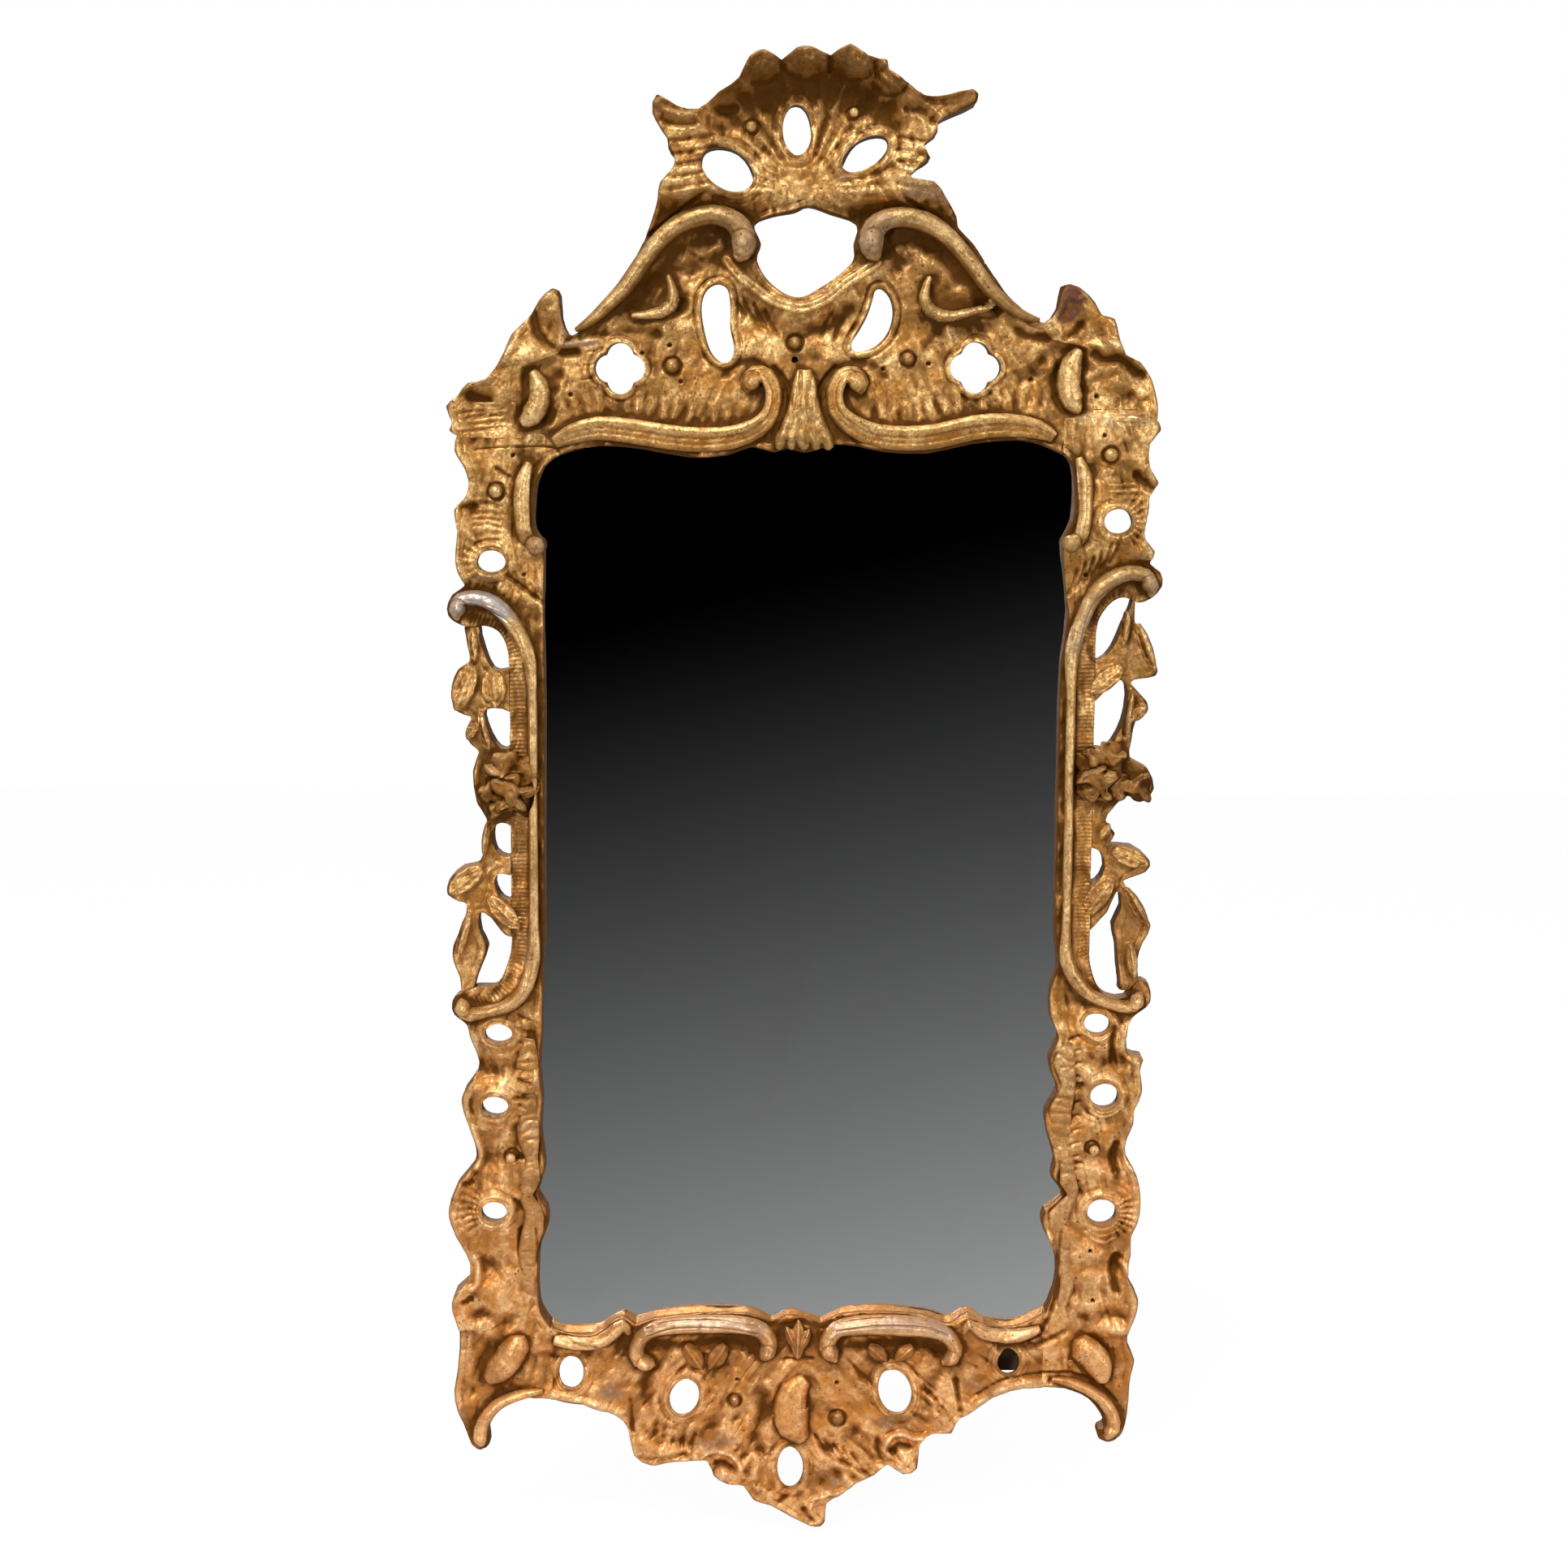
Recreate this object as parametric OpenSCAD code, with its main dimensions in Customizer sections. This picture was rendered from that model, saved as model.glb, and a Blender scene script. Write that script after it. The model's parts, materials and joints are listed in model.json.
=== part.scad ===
// Carved giltwood wall mirror: an old plate in a pierced frame with a shell crest.
// X runs to the right, Z up, and the wall is the plane y = 0. The front faces -Y.
// The origin lies on the wall at the middle line of the mirror plate.
// A depth is a distance from the wall towards the viewer.

/* [Frame] */
// Half the width of the sight opening
sight_half_w = 190; // [170:5:240]
// Height of the sight opening above the middle line
sight_up = 320; // [280:10:400]
// Height of the sight opening below the middle line
sight_down = 340; // [300:10:420]
// Width of a stile from the sight line to the outer edge
stile_w = 70; // [64:1:90]
// Height of the crest above the sight opening
crest_h = 287; // [260:5:340]
// Height of the apron below the sight opening
apron_h = 165; // [150:5:200]
// Thickness of the flat carved ground in front of the plate
lip_t = 10; // [8:0.5:14]
// Height of the raised carving above the ground
relief_h = 10; // [7:0.5:14]
// Depth of the hollow channel in a stile
channel_depth = 7; // [4:0.5:7]
// Radius of the hollow channel
channel_r = 26; // [22:1:30]
// Width of the raised rims round the piercings
rim_w = 3.5; // [2:0.5:5]
// Height of those rims
rim_h = 3; // [1.5:0.5:5]

/* [Shell] */
// Height of the shell's rim above the ground
shell_h = 26; // [18:1:32]
// Radius of the shell's bowl
shell_bowl_r = 120; // [105:1:150]
// Number of flutes in the shell
shell_flutes = 9; // [5:2:11]
// Radius of one flute
shell_flute_r = 5; // [3:0.5:6]

/* [Carving] */
// Height of the C-scroll rolls
roll_h = 14; // [10:1:18]
// Height of the mouldings round the sight opening
moulding_h = 10; // [7:0.5:13]
// Height of the leaves
leaf_h = 10; // [7:0.5:14]
// Height of the cabochons
cabochon_h = 9; // [6:0.5:12]
// Height of the roses
rose_h = 18; // [12:1:22]
// Height of the scrolls on the crest
crest_scroll_h = 18; // [12:1:22]

/* [Plate] */
// Thickness of the mirror plate
glass_t = 3; // [2:0.5:5]
// How far the plate reaches behind the frame at the sides
glass_cover = 15; // [10:1:16]
// How far the plate reaches behind the frame at the top
glass_cover_top = 20; // [17:1:22]
// How far the plate reaches behind the frame at the bottom
glass_cover_bottom = 18; // [14:1:20]
// Clearance round the plate in its rabbet
glass_gap = 0.5; // [0.3:0.1:1.5]
// Thickness of the glazing blocks behind the plate
block_t = 4; // [3:0.5:6]
// Length of a glazing block
block_len = 40; // [20:5:60]
// Width of a glazing block
block_w = 12; // [8:1:14]

/* [Back] */
// Thickness of the backboards
back_t = 7; // [6:0.5:10]
// How far the backboards lap the frame past the rabbet
back_lap = 5; // [4:0.5:5.5]
// Gap between two backboards
back_gap = 0.6; // [0.3:0.1:2]
// Radius of a nail's shank
nail_r = 0.9; // [0.6:0.1:1.2]
// Radius of a nail's head
nail_head_r = 2; // [1.4:0.1:2.2]
// Thickness of a nail's head
nail_head_t = 1; // [0.6:0.1:1.5]
// Length of a nail
nail_len = 17; // [14:0.5:20]
// Nails along each side
nails_side = 5; // [3:1:8]
// Clearance round nails, pegs and screws
fit_gap = 0.1; // [0.05:0.05:0.2]

/* [Joints] */
// Gap in the glued joints
joint_gap = 0.2; // [0.1:0.05:0.3]
// Thickness of the half-lap tongues
tongue_t = 10; // [7:0.5:12]
// Width of the tongues at the top of the stiles
tongue_w = 34; // [24:1:38]
// Length of the tongues at the top of the stiles
tongue_len = 25; // [18:1:28]
// Height of the tongues at the ends of the apron
apron_tongue_h = 20; // [16:1:22]
// Length of the tongues at the ends of the apron
apron_tongue_len = 30; // [20:1:34]
// Radius of a peg
peg_r = 3; // [2:0.5:4]
// Thickness of the cleats behind the crest
cleat_t = 6; // [4:0.5:6.5]
// Width of a cleat
cleat_w = 18; // [12:1:20]
// Length of a cleat
cleat_len = 90; // [60:5:100]

/* [Hanger] */
// Thickness of the hanger plate
hanger_t = 1.6; // [1.2:0.1:1.8]
// Width of the hanger plate
hanger_w = 40; // [36:1:48]
// Height of the hanger plate
hanger_h = 26; // [24:1:32]
// Height of the hinge pin above the sight opening
hanger_up = 80; // [78:1:84]
// Radius of the hinge pin
pin_r = 1.5; // [1.2:0.1:1.6]
// Wall of the hinge barrel round its pin
barrel_wall = 0.95; // [0.8:0.05:1]
// Radius of the ring's opening
ring_in_r = 10; // [8:0.5:11]
// Width of the ring's metal
ring_w = 3.5; // [2.5:0.5:4]
// Thickness of the ring
ring_t = 2.8; // [2:0.1:2.8]
// Length of the ring's hinge barrel
ring_barrel_len = 9; // [6:0.5:12]
// Length of each hinge barrel of the plate
ear_len = 4; // [3:0.5:5]
// Gap between moving parts of the hanger
hinge_gap = 0.3; // [0.2:0.05:0.4]
// Radius of a screw's shank
screw_r = 1.5; // [1:0.1:1.6]
// Radius of a screw's head
screw_head_r = 3; // [2.2:0.1:3]
// Length of a screw
screw_len = 11; // [8:0.5:14]

/* [Hidden] */

gilt = "#b08440";
gilt_light = "#d2a862";
copper_gilt = "#c08048";
wood = "#6b4a2c";
iron = "#4a4640";

// Depths from the wall
rear_d = back_t;
glass_d = rear_d + block_t;
lip_d = glass_d + glass_t;
ground_d = lip_d + lip_t;
relief_d = ground_d + relief_h;
past = 40; // how far a cutter runs past what it cuts

// The outlines below are drawn for a sight opening 190 half wide, 320 up and 340 down.
draw_half_w = 190;
draw_up = 320;
draw_down = 340;
draw_stile_w = 70;
draw_crest_h = 287;
draw_apron_h = 165;
slack = 0.05; // how far a joined shape runs into its neighbour in the same piece
back_step = 0.02; // step between the flat backs of leaves that cross each other

// Fit a drawn place to the sizes above
function fit_x(x) = sign(x) * (abs(x) < draw_half_w
    ? abs(x) * sight_half_w / draw_half_w
    : sight_half_w + (abs(x) - draw_half_w) * stile_w / draw_stile_w);
function fit_z(z) = z > draw_up ? sight_up + (z - draw_up) * crest_h / draw_crest_h
    : z < -draw_down ? -sight_down + (z + draw_down) * apron_h / draw_apron_h
    : z > 0 ? z * sight_up / draw_up : z * sight_down / draw_down;
function fit(points) = [for (p = points) [fit_x(p[0]), fit_z(p[1])]];
function fit_rows(rows) = [for (p = rows) [fit_x(p[0]), fit_z(p[1]), p[2], p[3]]];

// Smooth curve through hand-set points
function between(a, b, c, d, t) = 0.5 * (2 * b + (c - a) * t + (2 * a - 5 * b + 4 * c - d) * t * t
    + (3 * b - a - 3 * c + d) * t * t * t);
function run(p, n = 2) = [for (i = [0 : len(p) - 2]) for (k = [0 : n - 1])
    between(p[max(i - 1, 0)], p[i], p[i + 1], p[min(i + 2, len(p) - 1)], k / n), p[len(p) - 1]];
function ring_of(p, n = 2) = let (m = len(p)) [for (i = [0 : m - 1]) for (k = [0 : n - 1])
    between(p[(i + m - 1) % m], p[i], p[(i + 1) % m], p[(i + 2) % m], k / n)];

// Cross sections of the applied carving: half width -1 to 1, height 0 to 1
roll_section = [for (a = [180 : -30 : 0]) [cos(a), sin(a)]];
leaf_section = [[-1, 0], [-1, 0.4], [-0.45, 0.55], [0, 1], [0.45, 0.55], [1, 0.4], [1, 0]];
reed_section = [
    [-1, 0], [-1, 0.75], [-0.62, 1], [-0.2, 0.8], [-0.1, 0.5], [0.15, 0.66], [0.4, 0.44],
    [0.62, 0.56], [0.85, 0.4], [1, 0.3], [1, 0],
];

// Extrude an outline drawn in X and Z between two depths
module board(d0, d1) {
    translate([0, -d0, 0])
        rotate([90, 0, 0])
            linear_extrude(d1 - d0)
                children();
}

// Round bar, bore or peg along Y at a place, between two depths
module bar(x, z, r, d0, d1) {
    translate([x, -d0, z])
        rotate([90, 0, 0])
            cylinder(r = r, h = d1 - d0, $fn = 32);
}

module box_at(x0, x1, z0, z1, d0, d1) {
    translate([x0, -d1, z0])
        cube([x1 - x0, d1 - d0, z1 - z0]);
}

module oval(cx, cz, a, b, tilt = 0) {
    translate([fit_x(cx), fit_z(cz)])
        rotate(tilt)
            polygon([for (k = [0 : 23]) [a * cos(15 * k), b * sin(15 * k)]]);
}

module oval_rim(cx, cz, a, b, tilt = 0) {
    difference() {
        oval(cx, cz, a + rim_w, b + rim_w, tilt);
        oval(cx, cz, a, b, tilt);
    }
}

// Piercing of four round lobes
module quatrefoil(cx, cz, grow = 0) {
    lobe_r = 10;
    lobe_reach = 8.5;
    for (a = [0 : 90 : 270])
        translate([fit_x(cx) + lobe_reach * cos(a), fit_z(cz) + lobe_reach * sin(a)])
            circle(r = lobe_r + grow, $fn = 32);
}

// Carved run: rows of x, z, width and height, its cross section and the depth of its flat back
module carve(rows, section, d, n = 2) {
    path = run(fit_rows(rows), n);
    last = len(path) - 1;
    m = len(section);
    points = [for (i = [0 : last])
        let (a = path[max(i - 1, 0)], b = path[min(i + 1, last)], p = path[i])
        let (t = [b[0] - a[0], b[1] - a[1]] / norm([b[0] - a[0], b[1] - a[1]]))
        for (s = section)
            [p[0] - t[1] * s[0] * p[2] / 2, -d - s[1] * p[3], p[1] + t[0] * s[0] * p[2] / 2]];
    sides = [for (i = [0 : last - 1]) for (j = [0 : m - 1])
        let (k = (j + 1) % m)
        each [[i * m + j, i * m + k, (i + 1) * m + k], [i * m + j, (i + 1) * m + k, (i + 1) * m + j]]];
    caps = [[for (j = [m - 1 : -1 : 0]) j], [for (j = [0 : m - 1]) last * m + j]];
    polyhedron(points = points, faces = concat(sides, caps));
}

// Rounded boss, such as the eye of a scroll, set off from a drawn place by a real distance
module boss(x, z, r, h, d, off_x = 0, off_z = 0) {
    translate([fit_x(x) + off_x, -d, fit_z(z) + off_z])
        rotate([90, 0, 0])
            rotate_extrude($fn = 20)
                polygon([[0, 0], for (a = [0 : 22.5 : 90]) [r * cos(a), h * sin(a)]]);
}

// Leaf from its root to its tip, widest near the middle
module leaf(x0, z0, x1, z1, w, h, d) {
    shape = [[0, 0.45], [0.25, 0.9], [0.55, 1], [0.8, 0.7], [1, 0.12]];
    carve([for (s = shape) [x0 + (x1 - x0) * s[0], z0 + (z1 - z0) * s[0], w * s[1],
        h * (0.45 + 0.55 * s[1])]], leaf_section, d, 1);
}

// Outer edge of the left stile, from the foot up to the joint with the crest
left_stile_outer = run(fit([
    [-189, -401], [-203, -400], [-217, -403], [-226, -408], [-234, -417], [-237, -428], [-236, -438],
    [-243, -443], [-250, -437], [-256, -423], [-261, -410], [-263, -395], [-260, -378], [-258, -345],
    [-263, -330], [-261, -316], [-251, -307], [-249, -292], [-256, -277], [-263, -260], [-264, -248],
    [-259, -232], [-246, -216], [-244, -202], [-249, -184], [-254, -168], [-252, -158], [-242, -143],
    [-242, -130], [-248, -116], [-250, -108], [-260, -102], [-262, -94], [-258, -86], [-243, -79],
    [-231, -79], [-225, -75], [-219, -60], [-216, -45], [-216, -10], [-216, 60], [-216, 120],
    [-216, 162], [-218, 178], [-224, 188], [-234, 192], [-245, 191], [-258, 196], [-262, 204],
    [-258, 215], [-248, 222], [-253, 232], [-254, 248], [-252, 262], [-255, 277], [-247, 286],
    [-244, 297], [-248, 310], [-254, 320], [-252, 331],
]));
left_stile_sight = run(fit([
    [-190, 308], [-195, 296], [-197, 280], [-197, 264], [-192, 256], [-190, 246], [-191, 200],
    [-190, 130], [-191, 40], [-191, -38], [-193, -64], [-194, -115], [-196, -145], [-194, -164],
    [-195, -190], [-192, -220], [-198, -239], [-191, -250], [-190, -264], [-196, -279], [-198, -300],
    [-198, -320], [-196, -332], [-189, -343],
]));
left_stile_top = 331;
module left_stile_outline() {
    polygon(concat(left_stile_outer, fit([[-190, left_stile_top]]), left_stile_sight));
}

// Outer edge of the right stile, from the foot up to the joint with the crest
right_stile_outer = run(fit([
    [189, -389], [210, -391], [223, -398], [232, -409], [236, -420], [231, -423], [231, -429],
    [238, -434], [246, -431], [252, -418], [254, -398], [255, -380], [258, -368], [252, -354],
    [252, -341], [257, -328], [258, -315], [250, -300], [252, -283], [252, -267], [257, -255],
    [258, -236], [255, -220], [247, -206], [247, -194], [252, -180], [252, -170], [258, -155],
    [255, -138], [258, -129], [246, -126], [246, -104], [255, -95], [263, -87], [261, -73],
    [252, -72], [244, -84], [230, -83], [222, -74], [217, -58], [216, -40], [216, 0], [216, 60],
    [216, 120], [216, 165], [216, 191], [220, 204], [228, 213], [237, 216], [246, 212], [256, 215],
    [264, 224], [262, 235], [254, 241], [257, 250], [250, 258], [249, 266], [252, 282], [252, 290],
    [259, 300], [252, 310], [251, 328], [259, 338], [256, 345],
]));
right_stile_sight = run(fit([
    [190.5, 319], [196, 312], [198, 292], [197, 272], [191, 260], [190, 246], [195, 205], [191, 170],
    [190, 130], [190, 40], [190, -32], [193, -60], [188, -76], [188, -100], [195, -115], [188, -131],
    [190, -144], [195, -157], [186, -171], [188, -192], [194, -212], [191, -224], [201, -238],
    [187, -250], [185, -262], [194, -280], [197, -300], [192, -323], [189, -330],
]));
right_stile_top = 345;
module right_stile_outline() {
    polygon(concat(right_stile_outer, fit([[190.5, right_stile_top]]), right_stile_sight));
}

cartouche_seam = 457;
crest_sight = run(fit([
    [-190, 308], [-184, 314], [-170, 320], [-148, 324], [-118, 322], [-83, 316], [-55, 318],
    [-38, 324], [-22, 320], [-12, 323], [0, 320], [12, 323], [22, 326], [38, 325], [58, 321],
    [90, 320], [122, 327], [155, 330], [175, 326], [190.5, 319],
]));
crest_right_edge = run(fit([
    [256, 345], [256, 357], [252, 374], [243, 387], [232, 392], [227, 406], [224, 418], [215, 420],
    [210, 429], [198, 440], [186, 441], [183, 425], [173, 414], [158, 424], [145, 436],
    [130, cartouche_seam],
]));
crest_left_edge = run(fit([
    [-124, cartouche_seam], [-137, 438], [-150, 419], [-164, 406], [-171, 404], [-176, 416],
    [-177, 432], [-182, 437], [-192, 428], [-200, 416], [-212, 404], [-217, 391], [-230, 372],
    [-244, 369], [-251, 360], [-260, 352], [-255, 340], [-258, 335], [-252, left_stile_top],
]));
module crest_outline() {
    polygon(concat(fit([[-190, left_stile_top]]), crest_sight, fit([[190.5, right_stile_top]]),
        crest_right_edge, crest_left_edge));
}

cartouche_edge = run(fit([
    [130, cartouche_seam], [121, 471], [110, 482], [109, 490], [100, 503], [91, 513], [74, 515],
    [80, 523], [89, 529], [83, 538], [93, 546], [93, 554], [104, 560], [121, 568], [118, 577],
    [100, 572], [83, 572], [72, 581], [58, 590], [57, 597], [43, 599], [31, 608], [17, 600],
    [3, 606], [-7, 605], [-18, 597], [-30, 604], [-41, 597], [-48, 584], [-62, 574], [-77, 562],
    [-92, 564], [-106, 572], [-109, 558], [-99, 543], [-98, 534], [-93, 528], [-96, 519], [-104, 511],
    [-106, 500], [-110, 488], [-116, 472], [-124, cartouche_seam],
]));
module cartouche_outline() {
    polygon(cartouche_edge);
}

apron_top = run(fit([
    [-189, -343], [-178, -348], [-155, -348], [-144, -341], [-133, -334], [-124, -341], [-110, -336],
    [-75, -332], [-38, -332], [-20, -338], [-8, -333], [8, -335], [18, -339], [32, -332], [60, -330],
    [95, -332], [112, -339], [121, -336], [130, -330], [143, -340], [165, -341], [180, -335],
    [189, -330],
]));
apron_bottom = run(fit([
    [189, -389], [168, -391], [150, -397], [134, -410], [123, -415], [119, -427], [105, -427],
    [94, -436], [93, -455], [82, -460], [70, -452], [60, -461], [45, -468], [34, -477], [23, -484],
    [22, -499], [14, -503], [-4, -495], [-20, -486], [-33, -482], [-41, -470], [-53, -469],
    [-64, -462], [-69, -449], [-84, -450], [-100, -452], [-113, -454], [-125, -446], [-130, -424],
    [-140, -413], [-165, -405], [-189, -401],
]));
module apron_outline() {
    polygon(concat(apron_top, apron_bottom));
}

// Openings between the left C-scroll and the foliage beside it
left_openings = [
    [[-238, 194], [-226, 194], [-211, 180], [-211, 164], [-220, 160], [-228, 161], [-234, 174]],
    [[-234, 130], [-222, 131], [-211, 124], [-211, 108], [-220, 101], [-227, 106], [-233, 119]],
    [[-227, 44], [-219, 45], [-211, 37], [-212, 25], [-219, 20], [-227, 25], [-229, 36]],
    [[-226, 7], [-219, 7], [-211, 2], [-212, -8], [-219, -13], [-225, -8], [-228, 0]],
    [[-240, -22], [-231, -26], [-222, -39], [-211, -43], [-211, -60], [-216, -80], [-240, -84],
        [-244, -78], [-240, -66], [-234, -49], [-239, -38]],
];
right_openings = [
    [[240, 220], [241, 210], [235, 196], [228, 179], [219, 170], [211, 176], [211, 200], [222, 216]],
    [[232, 155], [239, 151], [239, 134], [234, 117], [224, 104], [211, 110], [211, 130], [219, 142]],
    [[216, 29], [223, 26], [226, 15], [220, 4], [211, 5], [210, 20]],
    [[236, -2], [239, -15], [233, -29], [236, -44], [237, -58], [238, -88], [212, -88], [211, -50],
        [217, -32], [229, -19]],
];

// Outer edges of the foliage, closed behind the C-scroll
left_foliage_edge = fit([
    [-250, 196], [-247, 178], [-245, 166], [-254, 160], [-259, 147], [-258, 131], [-249, 126],
    [-244, 124], [-249, 114], [-245, 104], [-239, 99], [-244, 84], [-241, 60], [-234, 48],
    [-235, 30], [-240, 15], [-252, 12], [-262, 3], [-264, -9], [-255, -14], [-249, -16], [-252, -30],
    [-260, -48], [-260, -60], [-255, -72], [-254, -88],
]);
right_foliage_edge = fit([
    [245, 216], [244, 199], [249, 183], [261, 167], [261, 158], [250, 156], [242, 153], [255, 139],
    [255, 130], [247, 126], [244, 110], [243, 97], [256, 90], [262, 74], [253, 64], [242, 69],
    [232, 60], [226, 50], [234, 40], [229, 32], [246, 31], [260, 20], [257, 11], [240, 5], [248, -6],
    [262, -29], [256, -42], [252, -58], [255, -78],
]);
foliage_back_x = 205;
module foliage_outline(edge, openings, side) {
    difference() {
        polygon(concat(run(edge), fit([[side * foliage_back_x, -80], [side * foliage_back_x, 190]])));
        for (hole = openings)
            polygon(ring_of(fit(hole)));
        children();
    }
}

// Rabbet for the plate, and the half widths and heights of plate and back
plate_x = sight_half_w + glass_cover;
plate_top = sight_up + glass_cover_top;
plate_bottom = -sight_down - glass_cover_bottom;
rabbet_x = plate_x + glass_gap;
rabbet_top = plate_top + glass_gap;
rabbet_bottom = plate_bottom - glass_gap;
back_x = rabbet_x + back_lap;
back_top = rabbet_top + 9;
back_bottom = rabbet_bottom - 7;
module rabbet() {
    box_at(-rabbet_x, rabbet_x, rabbet_bottom, rabbet_top, -past, lip_d);
}

// Nails: up both sides, and along the top and bottom of every backboard
nail_x = rabbet_x + back_lap / 2;
nail_end = 60;
nail_side_z = [for (i = [0 : nails_side - 1])
    plate_bottom + nail_end + i * (plate_top - plate_bottom - 2 * nail_end) / (nails_side - 1)];
board_w = (2 * back_x - 2 * back_gap) / 3;
board_step = board_w + back_gap;
nail_edge_x = [for (b = [-1 : 1]) for (s = [-1, 1]) b * board_step + s * board_w / 4];
nail_top_z = (rabbet_top + back_top) / 2;
nail_bottom_z = (rabbet_bottom + back_bottom) / 2;
nail_places = concat(
    [for (s = [-1, 1]) for (z = nail_side_z) [s * nail_x, z]],
    [for (x = nail_edge_x) each [[x, nail_top_z], [x, nail_bottom_z]]]
);
module nail(x, z, gap = 0) {
    bar(x, z, nail_head_r + gap, gap > 0 ? -past : 0, nail_head_t);
    bar(x, z, nail_r + gap, nail_head_t - slack, nail_len + gap);
}
module nail_bores() {
    for (p = nail_places)
        nail(p[0], p[1], fit_gap);
}

// Half-lap tongues of the stiles behind the crest, and of the apron behind the stiles
tongue_x0 = rabbet_x + 3;
tongue_x1 = tongue_x0 + tongue_w;
tongue_d = rear_d + tongue_t;
left_seam_z = fit_z(left_stile_top);
right_seam_z = fit_z(right_stile_top);
apron_joint_x = fit_x(189);
apron_tongue_top = back_bottom - joint_gap;
apron_tongue_bottom = apron_tongue_top - apron_tongue_h;
module stile_tongue(side, seam_z, gap = 0) {
    x0 = side > 0 ? tongue_x0 : -tongue_x1;
    box_at(x0 - gap, x0 + tongue_w + gap, seam_z - 2, seam_z + tongue_len + gap,
        gap > 0 ? -past : rear_d, tongue_d + gap);
}
module apron_tongue(side, gap = 0) {
    x0 = side > 0 ? apron_joint_x - 2 : -apron_joint_x - apron_tongue_len;
    box_at(x0 - gap, x0 + apron_tongue_len + 2 + gap, apron_tongue_bottom - gap,
        apron_tongue_top + gap, gap > 0 ? -past : rear_d, tongue_d + gap);
}
peg_places = [
    [-(tongue_x0 + tongue_w / 2), left_seam_z + tongue_len / 2],
    [tongue_x0 + tongue_w / 2, right_seam_z + tongue_len / 2],
    [-(apron_joint_x + apron_tongue_len / 2), apron_tongue_bottom + apron_tongue_h / 2],
    [apron_joint_x + apron_tongue_len / 2, apron_tongue_bottom + apron_tongue_h / 2],
];
peg_end_d = tongue_d + 4;
module peg_bores() {
    for (p = peg_places)
        bar(p[0], p[1], peg_r + fit_gap, -past, peg_end_d + fit_gap);
}

// Pearls: place, radius and the depth of the flat pad that each sits on
pearl_places = [
    [-39, 551, 4, ground_d + 11], [34, 561, 3.5, ground_d + 13], [-7, 399, 4.5, ground_d],
    [-96, 382, 5, ground_d], [75, 388, 4.5, ground_d], [-224, 291, 5, relief_d - 1],
    [-217, -208, 4, relief_d], [223, 320, 5, relief_d - 1], [222, -199, 4, relief_d],
    [-48, -401, 4, ground_d], [31, -415, 5, ground_d],
];
pearl_pad = 2;
module pearl_pads() {
    for (p = pearl_places)
        bar(fit_x(p[0]), fit_z(p[1]), p[2] + pearl_pad, lip_d, p[3]);
}

// Raised outer flange of a stile: its inner edge, drawn upwards, and the middle of its hollow channel
module flange(side, inner, channel_x) {
    z0 = fit_z(inner[0][1]);
    z1 = fit_z(inner[len(inner) - 1][1]);
    outer_x = side * (sight_half_w + stile_w + past);
    difference() {
        board(lip_d, relief_d)
            intersection() {
                children();
                polygon(concat(run(fit([for (p = inner) [side * p[0], p[1]]])),
                    [[outer_x, z1], [outer_x, z0]]));
            }
        translate([side * fit_x(channel_x), -(relief_d + channel_r - channel_depth), z0 - past])
            cylinder(r = channel_r, h = z1 - z0 + 2 * past, $fn = 64);
    }
}
// Inner edges of the flanges, the same on both sides but for their ends
function upper_inner(z0, z1) = [[232, z0], [219, z0 + 5], [213, z0 + 22], [214, z1 - 50], [213, z1 - 25],
    [214, z1]];
lower_inner = [[236, -345], [224, -338], [217, -320], [216, -290], [219, -262], [217, -236], [214, -215],
    [217, -190], [219, -165], [216, -140], [221, -122]];

left_stile_holes = [
    [-228, 240, 10.5, 8, 0], [-225.6, -113, 10.3, 7, 0], [-228.6, -168, 10, 8, 0],
    [-230, -250.5, 9.7, 8, 0],
];
right_stile_holes = [
    [229.5, 272, 10.5, 9, 0], [222.5, -103, 9.6, 8, 0], [229, -158, 10.5, 10, 0],
    [229, -248, 11, 10, 0],
];
module ovals(list) {
    for (h = list)
        oval(h[0], h[1], h[2], h[3], h[4]);
}
module oval_rims(list) {
    for (h = list)
        oval_rim(h[0], h[1], h[2], h[3], h[4]);
}

module left_stile() {
    color(gilt)
        difference() {
            union() {
                board(rear_d, ground_d)
                    left_stile_outline();
                flange(-1, upper_inner(224, left_stile_top), 233.5)
                    left_stile_outline();
                flange(-1, concat(lower_inner, [[236, -112]]), 239)
                    left_stile_outline();
                board(lip_d, relief_d)
                    oval_rims(left_stile_holes);
                stile_tongue(-1, left_seam_z);
                intersection() {
                    pearl_pads();
                    board(rear_d, relief_d)
                        left_stile_outline();
                }
            }
            board(0, relief_d + past)
                ovals(left_stile_holes);
            rabbet();
            apron_tongue(-1, joint_gap);
            nail_bores();
            peg_bores();
        }
}

module right_stile() {
    color(gilt)
        difference() {
            union() {
                board(rear_d, ground_d)
                    right_stile_outline();
                flange(1, upper_inner(244, right_stile_top), 234.5)
                    right_stile_outline();
                flange(1, concat(lower_inner, [[236, -104]]), 237)
                    right_stile_outline();
                board(lip_d, relief_d)
                    oval_rims(right_stile_holes);
                stile_tongue(1, right_seam_z);
                intersection() {
                    pearl_pads();
                    board(rear_d, relief_d)
                        right_stile_outline();
                }
            }
            board(0, relief_d + past)
                ovals(right_stile_holes);
            rabbet();
            apron_tongue(1, joint_gap);
            nail_bores();
            peg_bores();
        }
}

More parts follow.
